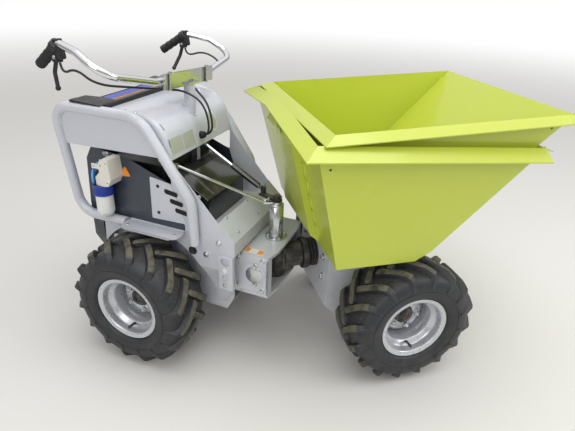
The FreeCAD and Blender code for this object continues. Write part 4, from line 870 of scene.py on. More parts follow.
def makeLoops():
    # round tube along its bent route, a flat web in its upper bend, a fillet where they meet
    s = loopShape
    route = bentPath([(x, -s["y"], z) for x, z in s["route"]], s["bends"], 15)
    tube = swept(route, s["r"] - 0.1, 32)
    # the web's upper edge follows the tube, so it runs from centre line to centre line
    ends = [np.array([s[k][0], -s["y"], s[k][1]], float) for k in ("webFront", "webRear")]
    upper = [p for p in route if p[2] > 742 and p[0] > -705]
    outline = [(p[0], p[2]) for p in [ends[0]] + upper + [ends[1]]]
    web = slab(outline, -s["y"] - 3, -s["y"] + 3)
    # fillet: a thin tube just inside the big one, on both faces of the web
    mid = np.array([-500.0, -s["y"], 780.0])
    inner = np.array([p + unit(mid - p) * (s["r"] - 1.0) for p in upper])
    beads = [swept(inner + (0, off, 0), 3.6, 8) for off in (-3.4, 3.4)]
    shelf = brick(-625, -400, -s["y"], -186, 853, 857)
    rearTab = slab(roundOutline([(-620, 456), (-562, 456), (-562, 488), (-620, 488)], 8), -203, -200.0)
    frontTab = slab(roundOutline([(-222, 440), (-180, 440), (-180, 478), (-222, 478)], 8), -203, -200.0)
    # weld beads: where the leg stands on its tab, and where the level run meets it
    rings = []
    for x, z, d in ((-199.4, 476, 1.0), (-199.4, 442, -1.0)):
        arc = [(x + (s["r"] + 0.4) * math.cos(a), -202.0 - 1.0 * abs(math.sin(a)), z) for a in np.linspace(0, math.pi, 12)]
        rings.append(swept(arc, 2.0, 6))
    cap = stretchedAlong(turned([(0, 0.05), (0, 12.5), (-1.4, 16.2), (0.2, 16.9), (1.0, 16.6), (1.4, 0.05)], 32),
                         (-199, -s["y"], 456.4), (0, 0, -1))
    piece("loopTubes", joined(bothSides([tube, cap] + beads)), mats["greyPaint"], rearAt, "rear_unit",
          replaces=["tube_loops"], sharp=50)
    piece("loopWebs", joined(bothSides([web, shelf, rearTab, frontTab])), mats["greyPaint"], rearAt,
          "rear_unit", bevel=0.8)


hoodShape = {"bendX": -385.0, "bendR": 95.0, "top": 860.0, "leanDeg": 12.0, "lipZ": 727.0, "half": 200.2,
             "sheet": 3.0, "rear": -628.0, "notch": (-582.0, 146.0), "fold": 12.0, "flange": 48.0}


def hoodX(z, off=0.0):
    # the hood's front, off millimetres in front of it: a leaning plane that runs up into the roll
    h = hoodShape
    t = math.radians(h["leanDeg"])
    r = h["bendR"] + off
    up = np.asarray(z, float) - (h["top"] - h["bendR"])
    flat = h["bendX"] + r / math.cos(t) - up * math.tan(t)
    rolled = h["bendX"] + np.sqrt(np.clip(r ** 2 - up ** 2, 0, None))
    return np.where(up > r * math.sin(t), rolled, flat)


def makeHood():
    # Folded sheet: point = profile(s) - depth normal(s). The profile is the level top, the roll and
    # the leaning front; depth goes from 0 over the middle to the flange's own along both sides.
    h = hoodShape
    t = math.radians(h["leanDeg"])
    mid = h["top"] - h["bendR"]
    angles = np.linspace(math.pi / 2, t, 28)
    rows = [(x, h["top"], 0.0, 1.0) for x in np.linspace(h["notch"][0], h["bendX"], 24)[:-1]]
    rows += [(h["bendX"] + h["bendR"] * math.cos(a), mid + h["bendR"] * math.sin(a), math.cos(a), math.sin(a))
             for a in angles]
    rows.append((float(hoodX(h["lipZ"])), h["lipZ"], math.cos(t), math.sin(t)))
    grid = []
    q = np.linspace(0, math.pi / 2, 7)
    for x, z, nx, nz in rows:
        k = np.clip((x - h["bendX"] + 60.0) / 60.0, 0, 1)
        deep = 4.6 + (h["flange"] - 4.6) * k * k * (3 - 2 * k)
        r = min(h["fold"], deep * 0.8)
        s = max(r - h["sheet"], 1.0)
        outer = [(h["half"], deep)] + [(h["half"] - r + r * math.cos(a), r - r * math.sin(a)) for a in q]
        inner = [(h["half"] - h["sheet"], deep)] + [(h["half"] - h["sheet"] - s + s * math.cos(a),
                                                     h["sheet"] + s - s * math.sin(a)) for a in q]
        section = outer + [(-y, w) for y, w in outer[::-1]] + [(-y, w) for y, w in inner] + inner[::-1]
        grid += [(x - w * nx, y, z - w * nz) for y, w in section]
    n = len(section)
    points = np.array(grid)
    faces = gridFaces(len(rows), n, False, True)
    faces += [tuple(reversed(range(n))), tuple(range(len(points) - n, len(points)))]
    x, y = h["notch"]
    ear = slab([(h["rear"], y + 14), (x, y), (x, h["half"]), (h["rear"], h["half"])], h["top"] - h["sheet"],
               h["top"], "z")
    piece("hoodSheet", joined([(points, outward(points, faces))] + bothSides([ear])), mats["greyPaint"], rearAt,
          "rear_unit", replaces=["hood"], sharp=40)


def onHood(yz, off0, off1):
    # an outline in y and z laid on the front, as rings that shrink to its middle and follow the roll
    o = np.asarray(yz, float)
    n, mid = len(o), o.mean(0)
    rings = [(1.0, off0)] + [(f, off1) for f in (1.0, 0.8, 0.6, 0.4, 0.2, 0.02)]
    points = []
    for f, off in rings:
        q = mid + (o - mid) * f
        points.append(np.stack([hoodX(q[:, 1], off), q[:, 0], q[:, 1]], 1))
    points = np.concatenate(points)
    faces = gridFaces(len(rings), n, False, True)
    faces += [tuple(reversed(range(n))), tuple(range(len(points) - n, len(points)))]
    return points, outward(points, faces)


def circle(cx, cz, r, n=28, squash=1.0, tilt=0.0):
    t = np.linspace(0, 2 * math.pi, n, endpoint=False)
    a, b = r * np.cos(t), r * squash * np.sin(t)
    c, s = math.cos(tilt), math.sin(tilt)
    return np.stack([cx + a * c - b * s, cz + a * s + b * c], 1)


def makeHoodTrim():
    # two blank stickers, an oval one, the slots near the side edge as dark strips of painted shade, and the folded
    # lower lip
    labels = [onHood(roundOutline([(-186, 741), (-120, 741), (-120, 790), (-186, 790)], 3), 0.05, 0.5),
              onHood(roundOutline([(-114, 740), (-50, 740), (-50, 789), (-114, 789)], 3), 0.05, 0.5)]
    piece("hoodLabels", joined(labels), mats["silverLabel"], rearAt, "rear_unit")
    oval = onHood(circle(80, 787, 40, 36, 0.68, 1.9), 0.05, 0.5)
    ring = onHood(circle(80, 787, 32, 36, 0.64, 1.9), 0.45, 0.7)
    piece("hoodOval", oval, mats["creamPlastic"], rearAt, "rear_unit")
    piece("hoodOvalField", ring, mats["silverLabel"], rearAt, "rear_unit")
    # the slots are dark tubes just under the front's face: painted shade where the openings are
    slots = [swept([(float(hoodX(z, -0.5)), -186.5, z) for z in np.linspace(low, high, 12)], 1.5, 8)
             for low, high in ((766, 789), (818, 836))]
    piece("hoodSlotShade", joined(slots), mats["shadowGap"], rearAt, "rear_unit")
    lip = brick(hoodX(727) - 14, hoodX(727) - 3.2, -196, 196, 727.2, 729.6)
    screws = [domeHead((-450, y, 860), (0, 0, 1), 6, 3.4) for y in (-184, 184)]
    screws += [domeHead((-408, y, 860), (0, 0, 1), 6, 3.4) for y in (-188, 188)]
    piece("hoodLip", lip, mats["greyPaint"], rearAt, "rear_unit", bevel=0.5)
    piece("hoodScrews", joined(screws), mats["zinc"], rearAt, "rear_unit")


padShape = {"back": -632.0, "notch": -586.0, "front": -512.0, "halfY": 225.3, "base": 860.05,
            "overTube": 873.7, "top": 876.0, "fall": 5.5, "ear": (144.0, 158.0)}


def makeConsole():
    # Pad over the hood's back with two ears that lie on the loops. Its height is a level that
    # falls towards the front, less a rounded edge, less a shallow tray between the ears.
    c = padShape
    y = np.unique(np.concatenate([np.linspace(-c["halfY"], c["halfY"], 95),
                                  *[s * np.array([142, 144, 146, 150, 154, 158, 160, 198.4, 198.6, 200,
                                                  215, 221, 224.5]) for s in (-1, 1)]]))
    v = np.concatenate([np.linspace(0, 0.12, 7), np.linspace(0.16, 0.84, 16), np.linspace(0.88, 1, 7)])
    yy, vv = np.meshgrid(y, v, indexing="ij")
    ear = np.clip((np.abs(yy) - c["ear"][0]) / (c["ear"][1] - c["ear"][0]), 0, 1)
    back = c["notch"] + (c["back"] - c["notch"]) * ear
    x = back + (c["front"] - back) * vv
    edgeY = c["halfY"] - np.abs(yy)
    edgeX = np.minimum(x - back, c["front"] - x)
    overTube = np.abs(yy) > 198.5
    r = np.where(overTube, 2.0, 6.0)
    dist = np.clip(np.minimum(edgeY, edgeX), 0, r)
    crown = np.sqrt(np.clip(r ** 2 - (r - dist) ** 2, 0, None)) - r
    slope = (c["front"] - x) / (c["front"] - c["back"]) * c["fall"]
    tray = np.clip(np.minimum(138 - np.abs(yy), edgeX - 5) / 2.0, 0, 1) * 2.6
    z = c["top"] + 0.3 + slope + crown - tray
    low = np.where(overTube, c["overTube"], c["base"])
    z = np.maximum(z, low + 0.5)
    top = np.stack([x, yy, z], -1)
    under = np.stack([x, yy, low], -1)
    rows, cols = z.shape
    base = rows * cols
    points = np.concatenate([top.reshape(-1, 3), under.reshape(-1, 3)])
    faces = gridFaces(rows, cols, False, False)
    faces += [tuple(i + base for i in reversed(f)) for f in gridFaces(rows, cols, False, False)]
    idx = np.arange(base).reshape(rows, cols)
    rim = np.concatenate([idx[:, 0], idx[-1, 1:], idx[-2::-1, -1], idx[0, -2:0:-1]])
    faces += [(int(a), int(b), int(b + base), int(a + base))
              for a, b in zip(rim, np.roll(rim, -1))]
    piece("consoleShell", (points, outward(points, faces)), mats["blackPlastic"], rearAt, "rear_unit",
          replaces=["console_pad"], sharp=40)

    def onTray(x0, x1, y0, y1, rise):
        def level(x):
            return c["top"] + 0.3 - 2.6 + (c["front"] - x) / (c["front"] - c["back"]) * c["fall"]
        o = [(x0, level(x0) - 0.3), (x1, level(x1) - 0.3), (x1, level(x1) + rise), (x0, level(x0) + rise)]
        return slab(o, y0, y1)
    piece("consoleBlue", onTray(-579, -543, -134, 134, 0.5), mats["blueStripe"], rearAt, "rear_unit",
          bevel=0.2)
    piece("consoleOrange", onTray(-540, -535.5, -134, 134, 0.5), mats["orange"], rearAt, "rear_unit", bevel=0.1)
    piece("consoleGrey", onTray(-533, -520, -134, 134, 0.5), mats["blackGloss"], rearAt, "rear_unit",
          bevel=0.2)
    # key switch on the far ear, plain
    key = stretchedAlong(turned([(0, 13), (5, 13), (6.5, 11.5), (6.5, 6), (5.0, 5), (5.0, 0.05)], 28),
                         (-580, 178, 878.0), (0, 0, 1))
    # the key's slot is a dark bar on the switch face: painted shade
    slot = brick(-582, -578, 173, 183, 882.6, 883.6)
    piece("consoleSwitch", key, mats["zinc"], rearAt, "rear_unit")
    piece("consoleKeySlotShade", slot, mats["shadowGap"], rearAt, "rear_unit")


barShape = {"tiltDeg": -3.0, "foot": 865.0, "columnX": -330.0, "z": 946.0, "r": 11.1,
            "corners": [(-348, 0, 946), (-348, -155, 946), (-366, -367, 986), (-459, -351, 1036),
                        (-546, -324, 1051), (-643, -303, 984.5)], "bends": [80, 66, 60, 40],
            "gripLength": 92.0, "clampY": 108.0}


def barLean(points):
    # leaned sideways about the hood's middle: the right side stands higher
    p = np.asarray(points, float).reshape(-1, 3)
    t = math.radians(barShape["tiltDeg"])
    y, z = p[:, 1], p[:, 2] - barShape["foot"]
    return np.stack([p[:, 0], y * math.cos(t) - z * math.sin(t),
                     barShape["foot"] + y * math.sin(t) + z * math.cos(t)], 1)


def barAt(points):
    return rearAt(barLean(points))


def makeBar():
    s = barShape
    corners = s["corners"]
    half = bentPath(corners, s["bends"], 17)
    whole = np.concatenate([half[::-1], (half * (1, -1, 1))[1:]])
    piece("barTube", swept(whole, s["r"], 32), mats["chrome"], barAt, "rear_unit",
          replaces=["handlebar"], sharp=50)
    a, b = np.array(corners[4], float), np.array(corners[5], float)
    d = unit(b - a)
    length = s["gripLength"]
    start = b - d * length
    # grip: radius rises at both flanges and ripples between them, with finger hollows
    q = np.linspace(0, length + 3, 130)
    body = 15.0 - 0.8 * np.cos(q / (length + 3) * 2 * math.pi * 4) * (q > 10) * (q < length - 4)
    ribs = 0.55 * (np.sin(q * 2 * math.pi / 4.2) > 0)
    r = np.where(q < 4, 16.0, np.where(q > length - 1, 15.4, np.minimum(body + ribs, 16.0)))
    r[0], r[-1] = 14.5, 12.5
    prof = [(-length, 11.5)] + [(float(k), float(w)) for k, w in zip(q - length, r)] + [(3.0, 11.5)]
    grip = stretchedAlong(turned(prof, 36, closed=True), b, d)
    plug = stretchedAlong(turned([(0.4, 0.05), (0.4, 11.4), (3.2, 11.4), (3.6, 9.0), (3.6, 0.05)], 30), b, d)
    piece("gripSleeves", joined(bothSides([grip, plug])), mats["softRubber"], barAt, "rear_unit",
          replaces=["grips"], sharp=45)

    # lever: clamp ring, body with its pivot, flat curved blade with a ball end
    c0 = start - d * 12.0
    ring = stretchedAlong(turned([(-10, 11.5), (-10, 17.5), (-8.6, 19.0), (8.6, 19.0), (10, 17.5),
                                  (10, 11.5)], 36, closed=True), c0, d)
    pod = stretchedAlong(turned([(0, 0.05), (0, 9), (2, 12), (50, 12), (54, 10.5), (56, 8), (56, 0.05)], 28),
                         c0 + (8, 0, 20), (0.2, 0, -1))
    perch = slab(roundOutline([(c0[0] - 12, c0[2] - 44), (c0[0] + 12, c0[2] - 44),
                               (c0[0] + 12, c0[2] - 8), (c0[0] - 12, c0[2] - 8)], 5),
                 c0[1] - 9, c0[1] + 9)
    bolt = hexHead((c0[0], c0[1] - 9, c0[2] - 30), (0, -1, 0), 10, 5)
    nut = hexHead((c0[0], c0[1] + 9, c0[2] - 30), (0, 1, 0), 10, 5)
    begin = c0 + (-2, 0, -30)
    line = bentPath([begin, begin + (-14, 0, -44), (-592, -300, 918)], [22], 9)
    # flat section: the same swept tube, squeezed along the machine's width
    points, faces = swept(line, 7.0, 16)
    centre = np.repeat(line, 16, 0)
    k = np.repeat(np.linspace(0.62, 0.5, len(line)), 16)[:, None]
    across = np.array([0, 1.0, 0])
    rel = points - centre
    rel = rel - across * (rel @ across)[:, None] * k * 0.6
    blade = centre + rel, faces
    ball = swept([line[-1] + unit(line[-1] - line[-2]) * t for t in (-8, -5, -1, 3, 6, 7.4)],
                 [4.0, 6.8, 8.2, 7.0, 3.6, 0.6], 16)
    shapes = [ring, pod, perch, blade, ball]
    piece("leverBodies", joined(bothSides(shapes)), mats["blackPlastic"], barAt, "rear_unit",
          replaces=["levers"], bevel=0.6, sharp=40)
    piece("leverPivots", joined(bothSides([bolt, nut])), mats["zinc"], barAt, "rear_unit")


def makeColumn():
    s = barShape
    x, z = s["columnX"], s["z"]
    h = hoodShape
    tube = stretchedAlong(turned([(0, 19.0), (z - 844, 19.0), (z - 844, 16.0), (z - 845, 0.05)], 40),
                          (x, 0, 830), (0, 0, 1))
    # weld bead where the tube stands on the roll
    ring = []
    for a in np.linspace(0, math.tau, 49):
        bx = x + 20.5 * math.cos(a)
        ring.append((bx, 20.5 * math.sin(a), h["top"] - h["bendR"] + math.sqrt(h["bendR"] ** 2 - (bx - h["bendX"]) ** 2)))
    piece("columnTube", joined([tube, swept(ring, 2.8, 10)]), mats["greyPaint"], barAt, "rear_unit",
          replaces=["column"], sharp=40)
    # U-bolts over the bar, with their nuts under the saddles
    ties = []
    bx = x - 18
    for y in (-s["clampY"], s["clampY"]):
        for dy in (-5.0, 5.0):
            line = bentPath([(bx - 13.5, y + dy, z - 20), (bx - 13.5, y + dy, z + 14.5),
                             (bx + 13.5, y + dy, z + 14.5), (bx + 13.5, y + dy, z - 20)], [12, 12], 9)
            ties.append(swept(line, 2.6, 12))
            ties.append(hexHead((bx - 13.5, y + dy, z - 14), (0, 0, -1), 8, 4, 0.8))
    piece("barTies", joined(ties), mats["zinc"], barAt, "rear_unit")


def makeCables():
    # both cables as smooth curves through the route's control points
    s = barShape
    a, b = np.array(s["corners"][4], float), np.array(s["corners"][5], float)
    c = b - unit(b - a) * (s["gripLength"] + 12.0)
    lean = math.radians(hoodShape["leanDeg"])
    n = np.array([math.cos(lean), 0, math.sin(lean)])
    gland = {"y": -8.0, "z": 758.0}
    mouth = np.array([hoodX(gland["z"]), gland["y"], gland["z"]]) + n * 16.3
    for name, hand, dy, away in (("cableRight", -1, -6.0, 0.0), ("cableLeft", 1, 6.0, 7.0)):
        end = mouth + (0, dy, 0)
        turn = end + n * (26.0 + away)
        high = [(c[0] + 8, hand * -c[1], c[2] - 44.3), (c[0] + 12, hand * -c[1], c[2] - 76),
                (-478, hand * 340, 992), (-404, hand * 350, 956), (-378, hand * 225, 936),
                (-372, hand * 80, 912), (s["columnX"] + 2, hand * 29, 906)]
        route = list(barLean(high)) + [(-262 + away, end[1], 868), tuple(turn), tuple(end)]
        curve = bpy.data.curves.new(name, "CURVE")
        curve.dimensions = "3D"
        curve.bevel_depth = 0.0035
        curve.bevel_resolution = 4
        curve.resolution_u = 10
        spline = curve.splines.new("NURBS")
        spline.points.add(len(route) - 1)
        spline.points.foreach_set("co", np.append(rearAt(route), np.ones((len(route), 1)), 1)
                                  .astype(np.float32).ravel())
        spline.order_u = 3
        spline.use_endpoint_u = True
        curve.materials.append(mats["cableSkin"])
        obj = bpy.data.objects.new(name, curve)
        bpy.context.scene.collection.objects.link(obj)
        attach(obj, "rear_unit")
        if hand < 0:
            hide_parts("control_cables")
    # rubber boot where they enter the hood: a cone with three rings
    boot = [(0, 0.05), (0, 13.0), (3, 13.0), (3.6, 11.4), (5.4, 11.4), (6, 12.4), (8, 12.4),
            (8.6, 10.8), (10.4, 10.8), (11, 11.8), (13, 11.8), (15.5, 10.4), (16, 9.6), (16, 0.05)]
    at = (hoodX(gland["z"]), gland["y"], gland["z"])
    piece("cableBoot", stretchedAlong(turned(boot, 36), at, n),
          mats["softRubber"], rearAt, "rear_unit", replaces=["cable_gland"])


plugShape = {"x": -534.0, "y": -235.0, "collar": (578.0, 616.0), "low": 500.0, "pin": (-545.0, 682.0),
             "box": [(-517, 621), (-517, 698), (-508, 711), (-480, 713), (-474, 646), (-488, 621)],
             "mouth": [(-539, 616), (-503, 616), (-488, 640), (-517, 668), (-539, 646)]}


def makeCharger():
    s = plugShape
    px, y = s["x"], s["y"]
    # box on the side panel, its mouth with a bead round it, and the two ears of the lid's pin
    px0, pz0 = s["pin"]
    shapes = [slab(s["box"], -262, -200), slab(s["mouth"], -258, -206)]
    shapes += [brick(px0 - 7, px0 + 32, ye, ye + 4, pz0 - 8, pz0 + 8) for ye in (-255, -219)]
    shapes.append(stretchedAlong(turned([(0, 0.05), (0, 3.0), (40, 3.0), (40, 0.05)], 20), (px0, -255, pz0), (0, 1, 0)))
    piece("inletBox", joined(shapes), mats["creamPlastic"], rearAt, "rear_unit", replaces=["charge_inlet"],
          bevel=2.0, segments=3)
    # collar: ribbed grip ring, (height, r) with the ribs cut as waves round it
    t = np.linspace(0, 2 * math.pi, 160, endpoint=False)
    h = s["collar"][1] - s["collar"][0]
    prof = np.array([(0, 28.0), (0, 31.6), (1.5, 32.8), (6, 32.9), (6.6, 31.8), (h - 13, 31.8), (h - 12.2, 32.9),
                     (h - 1.6, 32.9), (h - 0.1, 31.4), (h - 0.1, 28.0)])
    ribbed = (prof[:, 0] > 6.3) & (prof[:, 0] < h - 12.6)
    rr = prof[:, 1][None] + ribbed[None] * (1.0 * np.cos(t * 26))[:, None]
    points = np.stack([np.sin(t)[:, None] * rr, np.tile(prof[:, 0], (160, 1)), np.cos(t)[:, None] * rr], -1)
    points = points.reshape(-1, 3)
    faces = gridFaces(160, len(prof), True, True)
    collar = stretchedAlong((points, outward(points, faces)), (px, y, s["collar"][0]), (0, 0, 1))
    piece("collarRing", collar, mats["darkBlue"], rearAt, "rear_unit", replaces=["charge_collar"],
          sharp=35)
    top = s["collar"][0] - s["low"]
    plug = stretchedAlong(turned([(0, 0.05), (0, 20.5), (1.6, 22.8), (12, 27.6), (14, 28.6), (16, 28.9),
                                  (34, 28.9), (35, 27.9), (37, 27.9), (38, 28.9), (top, 28.9),
                                  (top, 0.05)], 48), (px, y, s["low"]), (0, 0, 1))
    fins = []
    for k in range(4):
        a = math.radians(20 + 90 * k)
        p, f = slab(roundOutline([(10, 503), (25, 506), (29.6, 520), (29.6, 556), (10, 556)], 2), -2.0, 2.0)
        ca, sa = math.cos(a), math.sin(a)
        fins.append((np.stack([p[:, 0] * ca - p[:, 1] * sa + px, p[:, 0] * sa + p[:, 1] * ca + y, p[:, 2]], 1), f))
    piece("plugBody", joined([plug] + fins), mats["whitePlastic"], rearAt, "rear_unit",
          replaces=["charge_plug"], sharp=35)
    # lid: dished disc with a scalloped rim and raised rings, hanging on its pin
    x, z = s["pin"]
    lid = [(0, 0.05), (0, 30.2), (0.9, 31.8), (4.4, 31.8), (5.0, 31.0), (5.0, 26.5), (3.6, 25.4),
           (3.6, 14.5), (4.6, 13.6), (4.6, 0.05)]
    centre = np.array([x - 9, y - 6, z - 41.0])
    face = unit((-0.906, -0.423, 0))
    across = np.array([face[1], -face[0], 0])
    disc = stretchedAlong(turned([(q, 0.9 * r) for q, r in lid], 72), centre, face)
    ribs = []
    for k in range(20):
        a = math.tau * k / 20
        d = across * math.sin(a) + np.array([0, 0, math.cos(a)])
        ribs.append(swept([centre + face * 3.4 + d * 13.5, centre + face * 3.4 + d * 23.0], 1.3, 8))
    barrel = stretchedAlong(turned([(0, 3.1), (0, 5.4), (0.6, 6), (25.4, 6), (26, 5.4), (26, 3.1)], 28,
                                   closed=True), (x, y - 13, z), (0, 1, 0))
    arm = slab(roundOutline([(x - 14, z - 24), (x - 3.4, z - 24), (x - 3.4, z - 1), (x - 14, z - 1)], 2),
               y - 9, y + 9)
    piece("lidDisc", joined([disc, barrel, arm] + ribs), mats["lightBlue"], rearAt, "charge_lid_body",
          replaces=["charge_lid"], sharp=35, bevel=0.3)
    screws = [domeHead((x, -262, z), (0, -1, 0), 3.4, 1.8) for x, z in ((-509, 692), (-487, 702), (-489, 634))]
    hook = swept(bentPath([(-534, -200, 706), (-534, -212, 706), (-534, -214, 718)], [6], 6), 2.6, 10)
    eye = hexHead((-534, -200, 706), (0, -1, 0), 11, 5, 1.2)
    piece("inletScrews", joined(screws + [hook, eye]), mats["zinc"], rearAt, "rear_unit")


ventShape = {"outline": [(-367, 659), (-287, 647), (-238, 514), (-370, 509)],
             "slots": [(-289, 616), (-270, 585), (-252, 555)], "screws": [(-338, 631), (-342, 535)]}


def makeVents():
    # plate with three long openings: each is filled by a dark slab of painted shade set behind the plate's face
    s = ventShape
    plate = slab(roundOutline(s["outline"], 4), -202.0, -200.02)
    dark, rims, heads = [], [], []
    for x, z in s["slots"]:
        shape = roundOutline([(x - 25, z - 5.5), (x + 25, z - 12.5), (x + 25, z + 5.5), (x - 25, z + 12.5)], 8.5, 7)
        dark.append(slab(shape, -202.35, -202.02))
        loop = [(p[0], -202.2, p[1]) for p in shape] + [(shape[0][0], -202.2, shape[0][1])]
        rims.append(swept(loop, 0.5, 6))
    for x, z in s["screws"]:
        heads.append(domeHead((x, -202.0, z), (0, -1, 0), 6.0, 3.0))
    piece("ventSheets", joined(bothSides([plate] + rims)), mats["greyPaint"], rearAt, "rear_unit",
          replaces=["vent_plates"], bevel=0.3, sharp=40)
    # the dark slabs are painted shade standing for the openings
    piece("ventSlotShade", joined(bothSides(dark)), mats["shadowGap"], rearAt, "rear_unit")
    piece("ventScrews", joined(bothSides(heads)), mats["axlePaint"], rearAt, "rear_unit")


def makeSidePanels():
    # blank warning triangle, screws, bungs and the weld beads of the tray
    tri = roundOutline([(-490, 638), (-444, 643), (-464, 678)], 4)
    piece("warningTriangle", slab(tri, -200.5, -200.02), mats["orange"], rearAt, "rear_unit")
    shapes = []
    for x, z in ((-524, 455), (-538, 394), (-167, 415), (-118, 470)):
        shapes.append(hexHead((x, -200, z), (0, -1, 0), 13, 6, 1.4))
    piece("sideScrews", joined(bothSides(shapes)), mats["zinc"], rearAt, "rear_unit")
    # crease pressed along the dark panel, near its foot
    crease = swept([(x, -199.4, 515 + 0.1 * math.sin(x)) for x in np.linspace(-618, -374, 40)], 1.7, 8)
    piece("panelCrease", joined(bothSides([crease])), mats["darkPaint"], rearAt, "rear_unit")
    # dark bung with a dished face
    t, r = math.radians(48.0), 257.0
    at = (-390 + r * math.cos(t), -200, 227.5 + r * math.sin(t))
    bung = [(0, 0.05), (0, 15.0), (2.0, 15.4), (3.6, 14.4), (3.8, 11.0), (2.4, 9.0), (2.2, 0.05)]
    piece("bungCaps", joined(bothSides([stretchedAlong(turned(bung, 36), at, (0, -1, 0))])),
          mats["softRubber"], rearAt, "rear_unit", replaces=["bungs"])
    bead = swept([(x, -201.2, 485.4 + 0.3 * math.sin(x * 0.9)) for x in np.arange(-463, -236, 2.5)], 2.2, 8)
    piece("trayWelds", joined(bothSides([bead])), mats["greyPaint"], rearAt, "rear_unit")
    trayScrews = [domeHead((-446, -242, 484), (0, 0, 1), 5, 2.6), domeHead((-264, -236, 484), (0, 0, 1), 5, 2.6)]
    piece("trayScrews", joined(bothSides(trayScrews)), mats["zinc"], rearAt, "rear_unit")


chassisShape = {"half": 200.0, "sheet": 4.0, "memberHalf": 150.0, "deck": 480.0, "foldZ": 366.0,
                "foldIn": 0.3, "axle": (-390.0, 227.5), "archR": 240.0, "trayHalf": 262.0}


def makeRearChassis():
    # Side plates with a round arch; under a crease they lean in towards the members:
    # y = -(half - foldIn (foldZ - z)) below the crease.
    c = chassisShape
    ax, az = c["axle"]
    start = math.asin((c["foldZ"] - az) / c["archR"])
    arch = [(ax + c["archR"] * math.cos(a), az + c["archR"] * math.sin(a))
            for a in np.linspace(start, math.pi - start, 60)]
    upper = arch + [(-587, 366), (-581, 441), (-538, 484), (-243, 484), (-243, 506), (-286, 640),
                    (-283, 724), (-121, 542), (-64, 486), (-64, c["foldZ"])]
    shapes = [slab(upper, -c["half"], -c["half"] + c["sheet"])]
    zs = np.linspace(c["foldZ"], 198.0, 30)
    left = ax + np.sqrt(c["archR"] ** 2 - (zs - az) ** 2)
    right = np.interp(zs, [198.0, 300.0, 366.0], [-128.0, -64.0, -64.0])
    outer = [np.stack([left, -(c["half"] - c["foldIn"] * (c["foldZ"] - zs)), zs], 1),
             np.stack([right, -(c["half"] - c["foldIn"] * (c["foldZ"] - zs)), zs], 1)]
    rows = np.stack([outer[0], outer[1], outer[1] + (0, c["sheet"], 0), outer[0] + (0, c["sheet"], 0)], 1)
    faces = gridFaces(30, 4, False, True) + [(3, 2, 1, 0), (116, 117, 118, 119)]
    skirt = rows.reshape(-1, 3)
    shapes.append((skirt, outward(skirt, faces)))
    h, deck = c["half"], c["deck"]
    tray = roundOutline([(-465, -c["trayHalf"]), (-246, -c["trayHalf"]), (-236, -h), (-465, -h)], 24, 9)
    shapes.append(slab(tray, deck, deck + 4, "z"))
    shapes.append(brick(-450, -268, -c["trayHalf"], 3 - c["trayHalf"], deck - 5, deck + 1))
    m = c["memberHalf"]
    shapes.append(slab([(-586, 300), (-586, deck), (-90, deck), (-90, 230), (-120, 170), (-520, 170)], -m, 5 - m))
    whole = bothSides(shapes)
    whole += [brick(-586, -90, 4 - h, h - 4, deck, deck + 4), brick(-586, -582, 4 - h, h - 4, 365, deck),
              brick(-250, -246, -m, m, 174, deck), brick(-94, -90, -h + 2, h - 2, 300, deck),
              brick(-520, -480, -m, m, 170, 174), brick(-300, -120, -m, m, 170, 174),
              brick(-480, -300, -m, -50, 170, 174), brick(-480, -300, 66, m, 170, 174)]
    piece("rearChassisPlates", joined(whole), mats["greyPaint"], rearAt, "rear_unit",
          replaces=["rear_chassis"], bevel=0.8)


boxShape = {"half": 150.0, "rear": -90.0, "front": 50.0, "top": 425.0, "low": 265.0, "plate": 10.0,
            "cover": (-12.0, 349.0), "coverR": 43.0}


